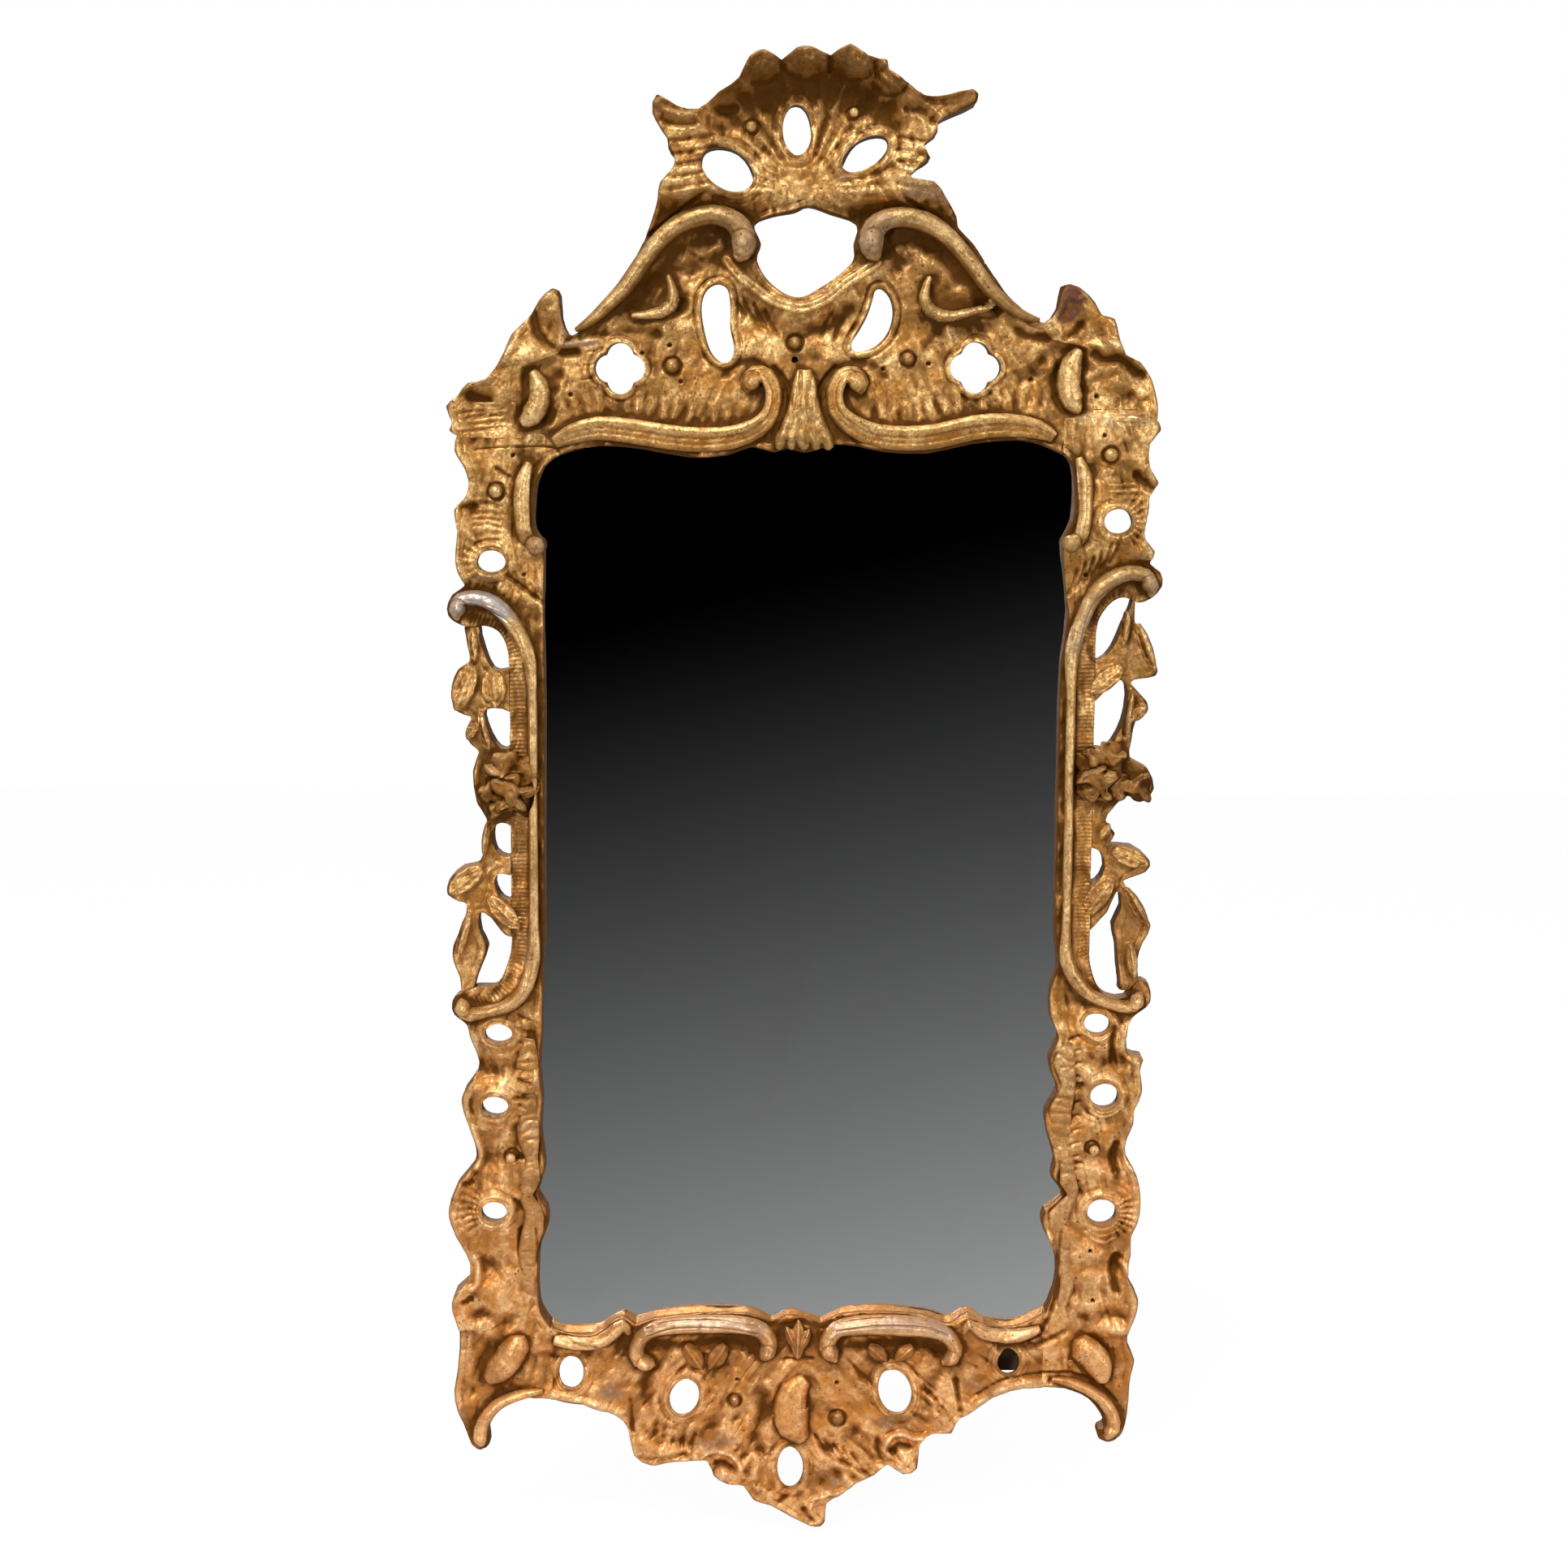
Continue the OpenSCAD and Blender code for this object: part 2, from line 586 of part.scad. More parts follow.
heart = [
    [-37, 483], [-24, 489], [-8, 492], [2, 496], [18, 491], [37, 484], [35, 470], [35, 459], [25, 448],
    [10, 438], [-2, 432], [-14, 434], [-28, 445], [-35, 459], [-32, 470],
];
left_kidney = [
    [-63, 441], [-56, 437], [-54, 424], [-54, 409], [-51, 395], [-54, 386], [-61, 385], [-69, 394],
    [-74, 412], [-75, 427], [-71, 437],
];
right_kidney = [
    [56, 438], [62, 431], [64, 420], [61, 408], [54, 399], [45, 394], [36, 393], [34, 399], [39, 407],
    [45, 418], [49, 430], [51, 437],
];
left_foil = [-134, 380];
right_foil = [124, 382];
front_nail_hole = [-7, 387];
front_nail_r = 2.5;
module crest_piercings() {
    polygon(ring_of(fit(heart), 3));
    polygon(ring_of(fit(left_kidney), 3));
    polygon(ring_of(fit(right_kidney), 3));
    quatrefoil(left_foil[0], left_foil[1]);
    quatrefoil(right_foil[0], right_foil[1]);
}

// Hollow scooped by a ball: its middle, its radius and its lowest depth
module scoop(x, z, r, d) {
    translate([fit_x(x), -d - r, fit_z(z)])
        sphere(r = r, $fn = 48);
}

module crest_ears() {
    difference() {
        board(lip_d, relief_d)
            intersection() {
                crest_outline();
                polygon(concat(run(fit([[-214, left_stile_top], [-215, 346], [-209, 366], [-205, 380],
                    [-190, 386], [-178, 391], [-172, 403]])), fit([[-172, 470], [-300, 470],
                    [-300, left_stile_top]])));
            }
        scoop(-232, 348, 40, relief_d - 8);
        scoop(-196, 408, 30, relief_d - 9);
    }
    difference() {
        board(lip_d, relief_d)
            intersection() {
                crest_outline();
                polygon(concat(run(fit([[214, right_stile_top], [214, 362], [207, 378], [209, 393],
                    [196, 399], [180, 402], [172, 411]])), fit([[172, 470], [300, 470],
                    [300, right_stile_top]])));
            }
        scoop(233, 366, 40, relief_d - 8);
        scoop(203, 415, 30, relief_d - 9);
    }
}

hook_pocket_r = ring_in_r + 1;
hook_pocket_t = 9;
module crest_rail() {
    color(gilt)
        difference() {
            union() {
                board(rear_d, ground_d)
                    crest_outline();
                crest_ears();
                board(lip_d, ground_d + rim_h) {
                    quatrefoil(left_foil[0], left_foil[1], rim_w);
                    quatrefoil(right_foil[0], right_foil[1], rim_w);
                }
            }
            board(0, relief_d + past)
                crest_piercings();
            rabbet();
            stile_tongue(-1, left_seam_z, joint_gap);
            stile_tongue(1, right_seam_z, joint_gap);
            bar(fit_x(front_nail_hole[0]), fit_z(front_nail_hole[1]), front_nail_r, 0, relief_d);
            bar(0, ring_z, hook_pocket_r, 0, rear_d + hook_pocket_t);
            nail_bores();
            peg_bores();
            screw_bores();
        }
}

shell_holes = [[-6.5, 549.5, 10.3, 18, 3], [-56, 521, 20, 14, -30], [42, 532.5, 18.5, 10, 33]];
shell_root = [0, 506];
shell_flute_start = 34; // flutes begin this far from the root of the shell
shell_reach = 120;
shell_spread = 150;
shell_from = 500;
module shell_body() {
    difference() {
        board(lip_d, ground_d + shell_h)
            intersection() {
                cartouche_outline();
                polygon(fit([[-150, shell_from], [150, shell_from], [150, 640], [-150, 640]]));
            }
        scoop(0, 536, shell_bowl_r, ground_d + 1);
        translate([fit_x(shell_root[0]), -ground_d - shell_flute_r / 2, fit_z(shell_root[1])])
            for (i = [0 : shell_flutes - 1])
                rotate([0, i * shell_spread / (shell_flutes - 1) - shell_spread / 2, 0])
                    rotate([atan(shell_h / shell_reach), 0, 0])
                        translate([0, 0, shell_flute_start])
                            cylinder(r = shell_flute_r, h = shell_reach, $fn = 24);
    }
}

module crest_cartouche() {
    color(gilt)
        difference() {
            union() {
                board(rear_d, ground_d)
                    cartouche_outline();
                shell_body();
                board(lip_d, ground_d + shell_h / 2)
                    intersection() {
                        cartouche_outline();
                        oval_rims(shell_holes);
                    }
                intersection() {
                    pearl_pads();
                    board(rear_d, ground_d + shell_h)
                        cartouche_outline();
                }
            }
            board(0, ground_d + shell_h + past) {
                ovals(shell_holes);
                polygon(ring_of(fit(heart), 3));
            }
        }
}

apron_holes = [
    [-86.5, -398, 11, 15, -15], [74.7, -392.5, 12.5, 18, 12], [-5, -454, 10, 16.5, 0],
    [-173, -379, 9.5, 12.5, 0], [161, -368, 8.5, 10, 0],
];
module apron_rail() {
    color(copper_gilt)
        difference() {
            union() {
                board(rear_d, ground_d)
                    apron_outline();
                board(lip_d, ground_d + rim_h)
                    intersection() {
                        apron_outline();
                        oval_rims(apron_holes);
                    }
                apron_tongue(-1);
                apron_tongue(1);
            }
            board(0, relief_d + past)
                ovals(apron_holes);
            rabbet();
            nail_bores();
            peg_bores();
        }
}

module left_crest_scroll() {
    h = crest_scroll_h;
    color(gilt_light) {
        carve([[-51, 459, 6, h * 0.6], [-47, 462, 15, h], [-44, 470, 20, h], [-47, 480, 18, h],
            [-55, 487, 16, h], [-68, 490, 16, h], [-85, 486, 16, h * 0.9],
            [-98, 478, 14, h * 0.8], [-110, 466, 13, h * 0.75], [-120, 452, 13, h * 0.7],
            [-131, 437, 12, h * 0.6], [-143, 425, 10, h * 0.5], [-155, 414, 8, h * 0.4],
            [-166, 407, 4, h * 0.3]], roll_section, ground_d);
        boss(-44, 470, 8, h * 1.15, ground_d, -1, -1);
    }
}

module right_crest_scroll() {
    h = crest_scroll_h;
    color(gilt_light) {
        carve([[54, 460, 6, h * 0.6], [50, 463, 15, h], [47, 471, 20, h], [50, 481, 18, h],
            [58, 487, 16, h], [70, 489, 16, h], [85, 486, 16, h * 0.9],
            [98, 479, 14, h * 0.8], [110, 468, 13, h * 0.75], [122, 453, 13, h * 0.7],
            [133, 439, 12, h * 0.6], [145, 428, 10, h * 0.5], [157, 420, 8, h * 0.4],
            [170, 416, 4, h * 0.3]], roll_section, ground_d);
        boss(47, 471, 8, h * 1.15, ground_d, 1, -1);
    }
}

module left_crest_curl() {
    h = leaf_h * 0.7;
    color(gilt_light)
        carve([[-93, 444, 3, h * 0.5], [-90, 434, 6, h], [-93, 424, 8, h], [-103, 417, 7, h],
            [-120, 415, 3, h * 0.5]], roll_section, ground_d);
}

module right_crest_curl() {
    h = leaf_h * 0.7;
    color(gilt_light)
        carve([[97, 444, 3, h * 0.5], [94, 434, 6, h], [98, 424, 8, h], [109, 420, 7, h],
            [124, 423, 6, h], [136, 424, 3, h * 0.5]], roll_section, ground_d);
}

module left_top_moulding() {
    h = moulding_h;
    color(gilt) {
        carve([[-39, 364, 5, h * 0.6], [-42, 370, 10, h], [-36, 377, 12, h], [-27, 375, 12, h],
            [-22, 364, 12, h], [-24, 349, 13, h], [-34, 338, 15, h], [-52, 331, 17, h],
            [-75, 329, 18, h], [-100, 331, 18, h],
            [-125, 335, 18, h], [-150, 337, 17, h], [-170, 332, 14, h], [-182, 326, 8, h * 0.8]],
            reed_section, ground_d);
        boss(-42, 370, 6.5, h * 1.1, ground_d, 4, 1);
    }
}

module right_top_moulding() {
    h = moulding_h;
    color(gilt) {
        carve([[182, 332, 8, h * 0.8], [170, 338, 14, h], [148, 341, 17, h], [123, 339, 18, h],
            [98, 333, 18, h], [75, 331, 18, h], [52, 333, 17, h], [34, 341, 15, h], [24, 351, 13, h],
            [22, 364, 12, h], [27, 375, 12, h], [36, 377, 12, h], [42, 370, 10, h],
            [39.5, 363, 5, h * 0.6]], reed_section, ground_d);
        boss(42, 370, 6.5, h * 1.1, ground_d, -4, 1);
    }
}

// Five rounded ribs that fan out downwards
module palmette() {
    h = moulding_h * 0.9;
    color(gilt_light)
        for (s = [-2 : 2])
            carve([[s * 1.6, 380, 3, h * 0.5], [s * 2.4, 370, 5.5, h], [s * 3, 350, 6, h],
                [s * 4.4, 335, 7.5, h], [s * 5.4, 326, 5, h * 0.6]], roll_section,
                ground_d + (s + 2) * back_step, 1);
}

module left_upper_moulding() {
    h = moulding_h;
    color(gilt_light) {
        carve([[-200, 312, 6, h * 0.6], [-205, 298, 12, h], [-206, 280, 13, h], [-205, 266, 12, h],
            [-203, 257, 12, h], [-198, 250, 8, h * 0.8]], roll_section, ground_d);
        boss(-198, 250, 7, h * 1.1, ground_d, 2, 1);
    }
}

module right_upper_moulding() {
    h = moulding_h;
    color(gilt_light) {
        carve([[200, 318, 6, h * 0.6], [205, 304, 12, h], [206, 284, 12, h], [205, 270, 12, h],
            [203, 261, 12, h], [198, 254, 8, h * 0.8]], roll_section, ground_d);
        boss(198, 254, 7, h * 1.1, ground_d, -2, 1);
    }
}

// Lobed sight mouldings: the widths swell and draw in from lobe to lobe
module left_lower_moulding() {
    h = moulding_h;
    color(gilt_light)
        carve([[-203, -118, 8, h * 0.6], [-205, -135, 18, h], [-205, -153, 16, h], [-203, -163, 10, h * 0.7],
            [-205, -180, 18, h], [-204, -198, 17, h], [-202, -211, 10, h * 0.7], [-203, -226, 16, h],
            [-207, -240, 12, h * 0.7], [-201, -251, 14, h * 0.8], [-201, -265, 17, h], [-206, -284, 15, h],
            [-206, -310, 13, h], [-205, -328, 11, h * 0.8], [-200, -338, 7, h * 0.6]],
            roll_section, ground_d);
}

module right_lower_moulding() {
    h = moulding_h;
    color(gilt_light)
        carve([[203, -118, 8, h * 0.6], [199, -133, 18, h], [203, -152, 12, h * 0.7], [197, -171, 18, h],
            [198, -191, 17, h], [203, -211, 12, h * 0.7], [204, -226, 14, h], [208, -238, 10, h * 0.7],
            [197, -254, 17, h], [199, -267, 16, h], [205, -286, 14, h], [205, -308, 12, h],
            [201, -324, 9, h * 0.7]], roll_section, ground_d);
}

module left_bottom_moulding() {
    h = moulding_h;
    color(gilt_light)
        carve([[-186, -353, 8, h * 0.8], [-170, -355, 12, h], [-152, -354, 12, h], [-142, -348, 11, h],
            [-133, -341, 10, h], [-128, -348, 5, h * 0.6]], roll_section, ground_d);
}

module right_bottom_moulding() {
    h = moulding_h;
    color(gilt_light)
        carve([[185, -342, 8, h * 0.8], [168, -347, 11, h], [152, -347, 11, h], [141, -345, 11, h],
            [130, -338, 9, h], [126, -346, 5, h * 0.6]], roll_section, ground_d);
}

// The rose sits in a round seat cut into the roll of the C-scroll
rose_r = 17;
left_rose_at = [-213, 69];
right_rose_at = [219, 80];
module rose_seat(at) {
    bar(fit_x(at[0]), fit_z(at[1]), rose_r + joint_gap, lip_d, relief_d + past);
}

module left_c_scroll() {
    h = roll_h;
    color(gilt_light)
        difference() {
            union() {
                carve([[-252, 197, 5, h * 0.6], [-256, 203, 10, h], [-251, 211, 12, h],
                    [-239, 213, 12, h], [-226, 208, 13, h], [-215, 197, 13, h],
                    [-206, 182, 12, h], [-200, 163, 12, h], [-198, 130, 12, h], [-198, 85, 12, h],
                    [-198, 40, 12, h], [-198, -10, 12, h], [-199, -45, 12, h], [-202, -68, 12, h],
                    [-209, -84, 12, h], [-220, -93, 11, h], [-234, -97, 10, h], [-247, -100, 11, h],
                    [-255, -95, 10, h], [-252, -88, 5, h * 0.6]], roll_section, ground_d);
                boss(-256, 203, 6, h * 1.15, ground_d, 3, 2);
                boss(-255, -95, 5.5, h * 1.15, ground_d, 3, 1);
            }
            rose_seat(left_rose_at);
        }
}

module right_c_scroll() {
    h = roll_h;
    color(gilt_light)
        difference() {
            union() {
                carve([[254, 217, 5, h * 0.6], [257, 224, 10, h], [251, 232, 12, h],
                    [239, 234, 12, h], [226, 229, 13, h], [214, 218, 13, h],
                    [206, 202, 12, h], [199, 180, 12, h], [197, 150, 12, h], [197, 110, 12, h],
                    [197, 60, 12, h], [197, 10, 12, h], [197, -32, 12, h], [199, -55, 12, h],
                    [207, -71, 12, h], [218, -82, 10, h], [232, -88, 10, h], [245, -91, 10, h],
                    [254, -87, 10, h], [254, -79, 5, h * 0.6]], roll_section, ground_d);
                boss(257, 224, 6, h * 1.15, ground_d, -3, 2);
                boss(254, -87, 5.5, h * 1.15, ground_d, -2, 1);
            }
            rose_seat(right_rose_at);
        }
}

// The leaves start a little above the ground, so that those over the C-scroll lie clear of it
foliage_d = ground_d + 0.6;
foliage_leaf_d = ground_d + joint_gap;
left_leaves = [
    [-243, 162, -256, 129, 16], [-228, 160, -226, 132, 18], [-241, 119, -248, 108, 8],
    [-238, 12, -262, -7, 15], [-232, -10, -209, -35, 14], [-247, -22, -257, -58, 8],
    [-243, 190, -241, 166, 7], [-238, 130, -231, 100, 7], [-233, 46, -236, 20, 6],
];
right_leaves = [
    [235, 165, 212, 145, 14], [246, 197, 260, 162, 9], [243, 126, 254, 136, 9],
    [232, 28, 259, 18, 14], [231, 7, 210, -22, 16], [242, 0, 260, -30, 9],
    [238, 206, 236, 180, 7], [243, 148, 239, 110, 6], [229, 48, 222, 36, 7], [246, -42, 250, -70, 8],
];
module foliage_leaves(list) {
    for (i = [0 : len(list) - 1])
        let (l = list[i])
            leaf(l[0], l[1], l[2], l[3], l[4], leaf_h, foliage_leaf_d + i * back_step);
}

module left_foliage() {
    color(copper_gilt) {
        board(rear_d, foliage_d)
            foliage_outline(left_foliage_edge, left_openings, -1)
                left_stile_outline();
        foliage_leaves(left_leaves);
    }
}

module right_foliage() {
    color(copper_gilt) {
        board(rear_d, foliage_d)
            foliage_outline(right_foliage_edge, right_openings, 1)
                right_stile_outline();
        foliage_leaves(right_leaves);
    }
}

// Rose: a ball of petals on a flat back, with a ring of five petals round it
rose_d = foliage_d + joint_gap;
module rose(at) {
    petals = 5;
    petal_r = 7.5;
    boss(at[0], at[1], rose_r * 0.6, rose_h, rose_d);
    for (i = [0 : petals - 1])
        boss(at[0], at[1], petal_r, rose_h * 0.75, rose_d,
            (rose_r - petal_r) * cos(90 + i * 360 / petals),
            (rose_r - petal_r) * sin(90 + i * 360 / petals));
}

module left_rose() {
    color(gilt)
        rose(left_rose_at);
}

module right_rose() {
    color(gilt)
        rose(right_rose_at);
}

module left_foot_scroll() {
    h = moulding_h;
    color(copper_gilt) {
        carve([[-194, -394, 4, h * 0.4], [-208, -396, 8, h * 0.7], [-221, -400, 9, h * 0.8],
            [-232, -407, 10, h], [-240, -418, 11, h], [-243, -430, 12, h],
            [-241, -437, 6, h * 0.6]], roll_section, ground_d);
        boss(-243, -430, 5.5, h * 1.15, ground_d, 0, -1);
    }
}

module right_foot_scroll() {
    h = moulding_h;
    color(copper_gilt) {
        carve([[194, -382, 4, h * 0.4], [208, -384, 8, h * 0.7], [221, -389, 9, h * 0.8],
            [233, -397, 10, h], [241, -409, 11, h], [242, -421, 12, h],
            [236, -428, 6, h * 0.6]], roll_section, ground_d);
        boss(242, -421, 5.5, h * 1.15, ground_d, -2, -1);
    }
}

module left_apron_scroll() {
    h = crest_scroll_h * 0.75;
    color(gilt_light) {
        carve([[-109, -370, 6, h * 0.6], [-116, -371, 12, h], [-123, -363, 13, h], [-120, -351, 12, h],
            [-108, -343, 12, h], [-88, -340, 14, h], [-60, -339, 14, h], [-40, -340, 13, h],
            [-28, -344, 13, h], [-22, -352, 14, h], [-23, -361, 13, h], [-28, -366, 6, h * 0.6]],
            roll_section, ground_d);
        boss(-116, -371, 6, h * 1.1, ground_d, 0, 1);
        boss(-23, -361, 6.5, h * 1.1, ground_d, 0, 1);
    }
}

module right_apron_scroll() {
    h = crest_scroll_h * 0.75;
    color(gilt_light) {
        carve([[30, -367, 6, h * 0.6], [24, -361, 14, h], [23, -352, 14, h], [30, -343, 13, h],
            [43, -340, 15, h], [62, -339, 16, h], [86, -340, 16, h], [102, -342, 14, h],
            [114, -347, 13, h], [120, -356, 13, h], [117, -365, 13, h], [110, -368, 6, h * 0.6]],
            roll_section, ground_d);
        boss(24, -361, 6.5, h * 1.1, ground_d, 1, 1);
        boss(117, -365, 6, h * 1.1, ground_d, 0, 1);
    }
}

module apron_fleuron() {
    color(gilt_light) {
        leaf(0, -366, 0.5, -336, 11, leaf_h, ground_d);
        leaf(-1, -359, -9, -341, 8, leaf_h * 0.8, ground_d + back_step);
        leaf(1.5, -360, 9, -343, 8, leaf_h * 0.8, ground_d + 2 * back_step);
    }
}

module apron_leaves() {
    color(copper_gilt) {
        leaf(-86, -356, -72, -376, 14, leaf_h * 0.8, ground_d);
        leaf(-55, -356, -68, -376, 14, leaf_h * 0.8, ground_d);
        leaf(54, -356, 69, -368, 12, leaf_h * 0.8, ground_d);
        leaf(88, -356, 74, -368, 12, leaf_h * 0.8, ground_d);
    }
}

module top_left_cabochon() {
    h = cabochon_h;
    color(gilt_light)
        carve([[-197, 376, 5, h * 0.6], [-193, 368, 11, h], [-192, 356, 12, h], [-197, 345, 12, h],
            [-205, 340, 6, h * 0.6]], roll_section, ground_d);
}

module top_right_cabochon() {
    h = cabochon_h;
    color(gilt_light)
        carve([[199, 394, 5, h * 0.6], [194, 385, 12, h], [191, 370, 13, h], [195, 358, 12, h],
            [201, 353, 6, h * 0.6]], roll_section, ground_d);
}

module bottom_left_cabochon() {
    h = cabochon_h;
    color(copper_gilt)
        carve([[-214, -349, 8, h * 0.6], [-215, -357, 16, h], [-221, -369, 16, h], [-229, -378, 15, h],
            [-235, -384, 7, h * 0.6]], roll_section, ground_d);
}

module bottom_right_cabochon() {
    h = cabochon_h;
    color(copper_gilt)
        carve([[216, -347, 8, h * 0.6], [219, -354, 16, h], [226, -362, 17, h], [231, -371, 15, h],
            [233, -379, 7, h * 0.6]], roll_section, ground_d);
}

module apron_cabochon() {
    h = cabochon_h;
    color(copper_gilt)
        carve([[6, -384, 8, h * 0.6], [-2, -392, 18, h], [-6, -407, 20, h], [-3, -421, 18, h],
            [4, -430, 8, h * 0.6]], roll_section, ground_d);
}

// Each pearl is a round bead with a flat back, where it sits on its pad
module pearls() {
    color(gilt_light)
        for (p = pearl_places)
            boss(p[0], p[1], p[2], p[2] * 1.2, p[3]);
}

module mirror_plate() {
    color("#56595c")
        box_at(-plate_x, plate_x, plate_bottom, plate_top, glass_d, lip_d);
}

// Blocks between the plate and the backboards, along all four edges of the plate
module glazing_blocks() {
    inset = 1;
    color(wood) {
        for (s = [-1, 1])
            for (z = [0.5, -0.5])
                let (x0 = s > 0 ? plate_x - inset - block_w : inset - plate_x)
                    box_at(x0, x0 + block_w, z * sight_down - block_len / 2,
                        z * sight_down + block_len / 2, rear_d, glass_d);
        for (s = [-1, 1])
            for (z0 = [plate_top - inset - block_w, plate_bottom + inset])
                box_at(s * sight_half_w / 2 - block_len / 2, s * sight_half_w / 2 + block_len / 2,
                    z0, z0 + block_w, rear_d, glass_d);
    }
}

module backboard(i) {
    color(wood)
        difference() {
            box_at(i * board_step - board_w / 2, i * board_step + board_w / 2, back_bottom, back_top,
                0, rear_d);
            nail_bores();
        }
}

module left_backboard() {
    backboard(-1);
}

module centre_backboard() {
    backboard(0);
}

module right_backboard() {
    backboard(1);
}

module backboard_nails() {
    color(iron)
        for (p = nail_places)
            nail(p[0], p[1]);
}

module corner_pegs() {
    color(wood)
        for (p = peg_places)
            bar(p[0], p[1], peg_r, rear_d, peg_end_d);
}

// Cleats glued across the seam between the crest rail and the cartouche
left_cleat_x = -95;
right_cleat_x = 82;
module cleat(x) {
    z = fit_z(cartouche_seam);
    color(wood)
        box_at(fit_x(x) - cleat_w / 2, fit_x(x) + cleat_w / 2, z - cleat_len / 2, z + cleat_len / 2,
            rear_d - cleat_t, rear_d);
}

module left_crest_cleat() {
    cleat(left_cleat_x);
}

module right_crest_cleat() {
    cleat(right_cleat_x);
}

// Block glued behind the right hole of the apron, below the backboards
repair_w = 30;
repair_h = 16;
repair_t = 6;
module repair_block() {
    x = fit_x(161);
    top = back_bottom - joint_gap;
    color(wood)
        box_at(x - repair_w / 2, x + repair_w / 2, top - repair_h, top, rear_d - repair_t, rear_d);
}

// Hinged hanging ring: the pin runs along X behind the crest
pin_z = sight_up + hanger_up;
barrel_r = pin_r + fit_gap / 2 + barrel_wall;
pin_d = barrel_r + 0.2;
ring_d1 = rear_d - 0.2;
ring_d0 = ring_d1 - ring_t;
ring_out_r = ring_in_r + ring_w;
ring_z = pin_z + barrel_r + hinge_gap + ring_out_r - 1.2;
hanger_top = pin_z - hinge_gap;
screw_inset_x = 5;
screw_inset_z = 5;
screw_places = [for (s = [-1, 1]) for (z = [hanger_top - hanger_h + screw_inset_z,
    hanger_top - screw_inset_z - 3]) [s * (hanger_w / 2 - screw_inset_x), z]];
screw_head_t = 1.2;

// Barrel of the hinge along X, between two places
module barrel(x0, x1, r) {
    translate([x0, -pin_d, pin_z])
        rotate([0, 90, 0])
            cylinder(r = r, h = x1 - x0, $fn = 32);
}

module screw(p, gap = 0) {
    bar(p[0], p[1], screw_head_r + gap, gap > 0 ? -past : rear_d - hanger_t,
        rear_d - hanger_t + screw_head_t);
    bar(p[0], p[1], screw_r + gap, rear_d - hanger_t + screw_head_t - slack,
        rear_d - hanger_t + screw_len + gap);
}
module screw_bores() {
    for (p = screw_places)
        bar(p[0], p[1], screw_r + fit_gap, -past, rear_d - hanger_t + screw_len + fit_gap);
}

barrel_half = ring_barrel_len / 2;
module hanger_plate() {
    web_t = 2;
    color(iron)
        difference() {
            union() {
                box_at(-hanger_w / 2, hanger_w / 2, hanger_top - hanger_h, hanger_top - barrel_r,
                    rear_d - hanger_t, rear_d);
                for (s = [-1, 1]) {
                    x0 = s > 0 ? barrel_half + hinge_gap : -barrel_half - hinge_gap - ear_len;
                    barrel(x0, x0 + ear_len, barrel_r);
                    box_at(x0, x0 + ear_len, hanger_top - barrel_r - web_t, pin_z, pin_d, rear_d);
                }
            }
            barrel(-hanger_w, hanger_w, pin_r + fit_gap / 2);
            for (p = screw_places)
                screw(p, fit_gap);
        }
}

module hanger_ring() {
    neck_w = 6;
    color(iron)
        difference() {
            union() {
                barrel(-barrel_half, barrel_half, barrel_r);
                bar(0, ring_z, ring_out_r, ring_d0, ring_d1);
                box_at(-neck_w / 2, neck_w / 2, pin_z, ring_z - ring_in_r - 1, pin_d, ring_d1);
            }
            bar(0, ring_z, ring_in_r, -past, past);
            barrel(-hanger_w, hanger_w, pin_r + fit_gap / 2);
        }
}

module hanger_pin() {
    color(iron)
        barrel(-barrel_half - hinge_gap - ear_len, barrel_half + hinge_gap + ear_len, pin_r);
}

module hanger_screws() {
    color(iron)
        for (p = screw_places)
            screw(p);
}

left_stile();
right_stile();
crest_rail();
crest_cartouche();
apron_rail();
left_crest_scroll();
right_crest_scroll();
left_crest_curl();
right_crest_curl();
left_top_moulding();
right_top_moulding();
palmette();
left_upper_moulding();
right_upper_moulding();
left_lower_moulding();
right_lower_moulding();
left_bottom_moulding();
right_bottom_moulding();
left_c_scroll();
right_c_scroll();
left_foliage();
right_foliage();
left_rose();
right_rose();
left_foot_scroll();
right_foot_scroll();
left_apron_scroll();
right_apron_scroll();
apron_fleuron();
apron_leaves();
top_left_cabochon();
top_right_cabochon();
bottom_left_cabochon();
bottom_right_cabochon();
apron_cabochon();
pearls();
mirror_plate();
glazing_blocks();
left_backboard();
centre_backboard();
right_backboard();
backboard_nails();
corner_pegs();
left_crest_cleat();
right_crest_cleat();
repair_block();
hanger_plate();
hanger_ring();
hanger_pin();
hanger_screws();
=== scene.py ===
"""Looks of the carved giltwood mirror: carved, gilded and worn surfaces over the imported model.

Lengths in this script are in millimetres until a mesh is made. A place on the front is (x, z): x to the
right and z up, as in the frame. The depth of a point is its distance from the wall.
"""
import json
import math

import bpy
import numpy as np
from mathutils import Matrix, Vector


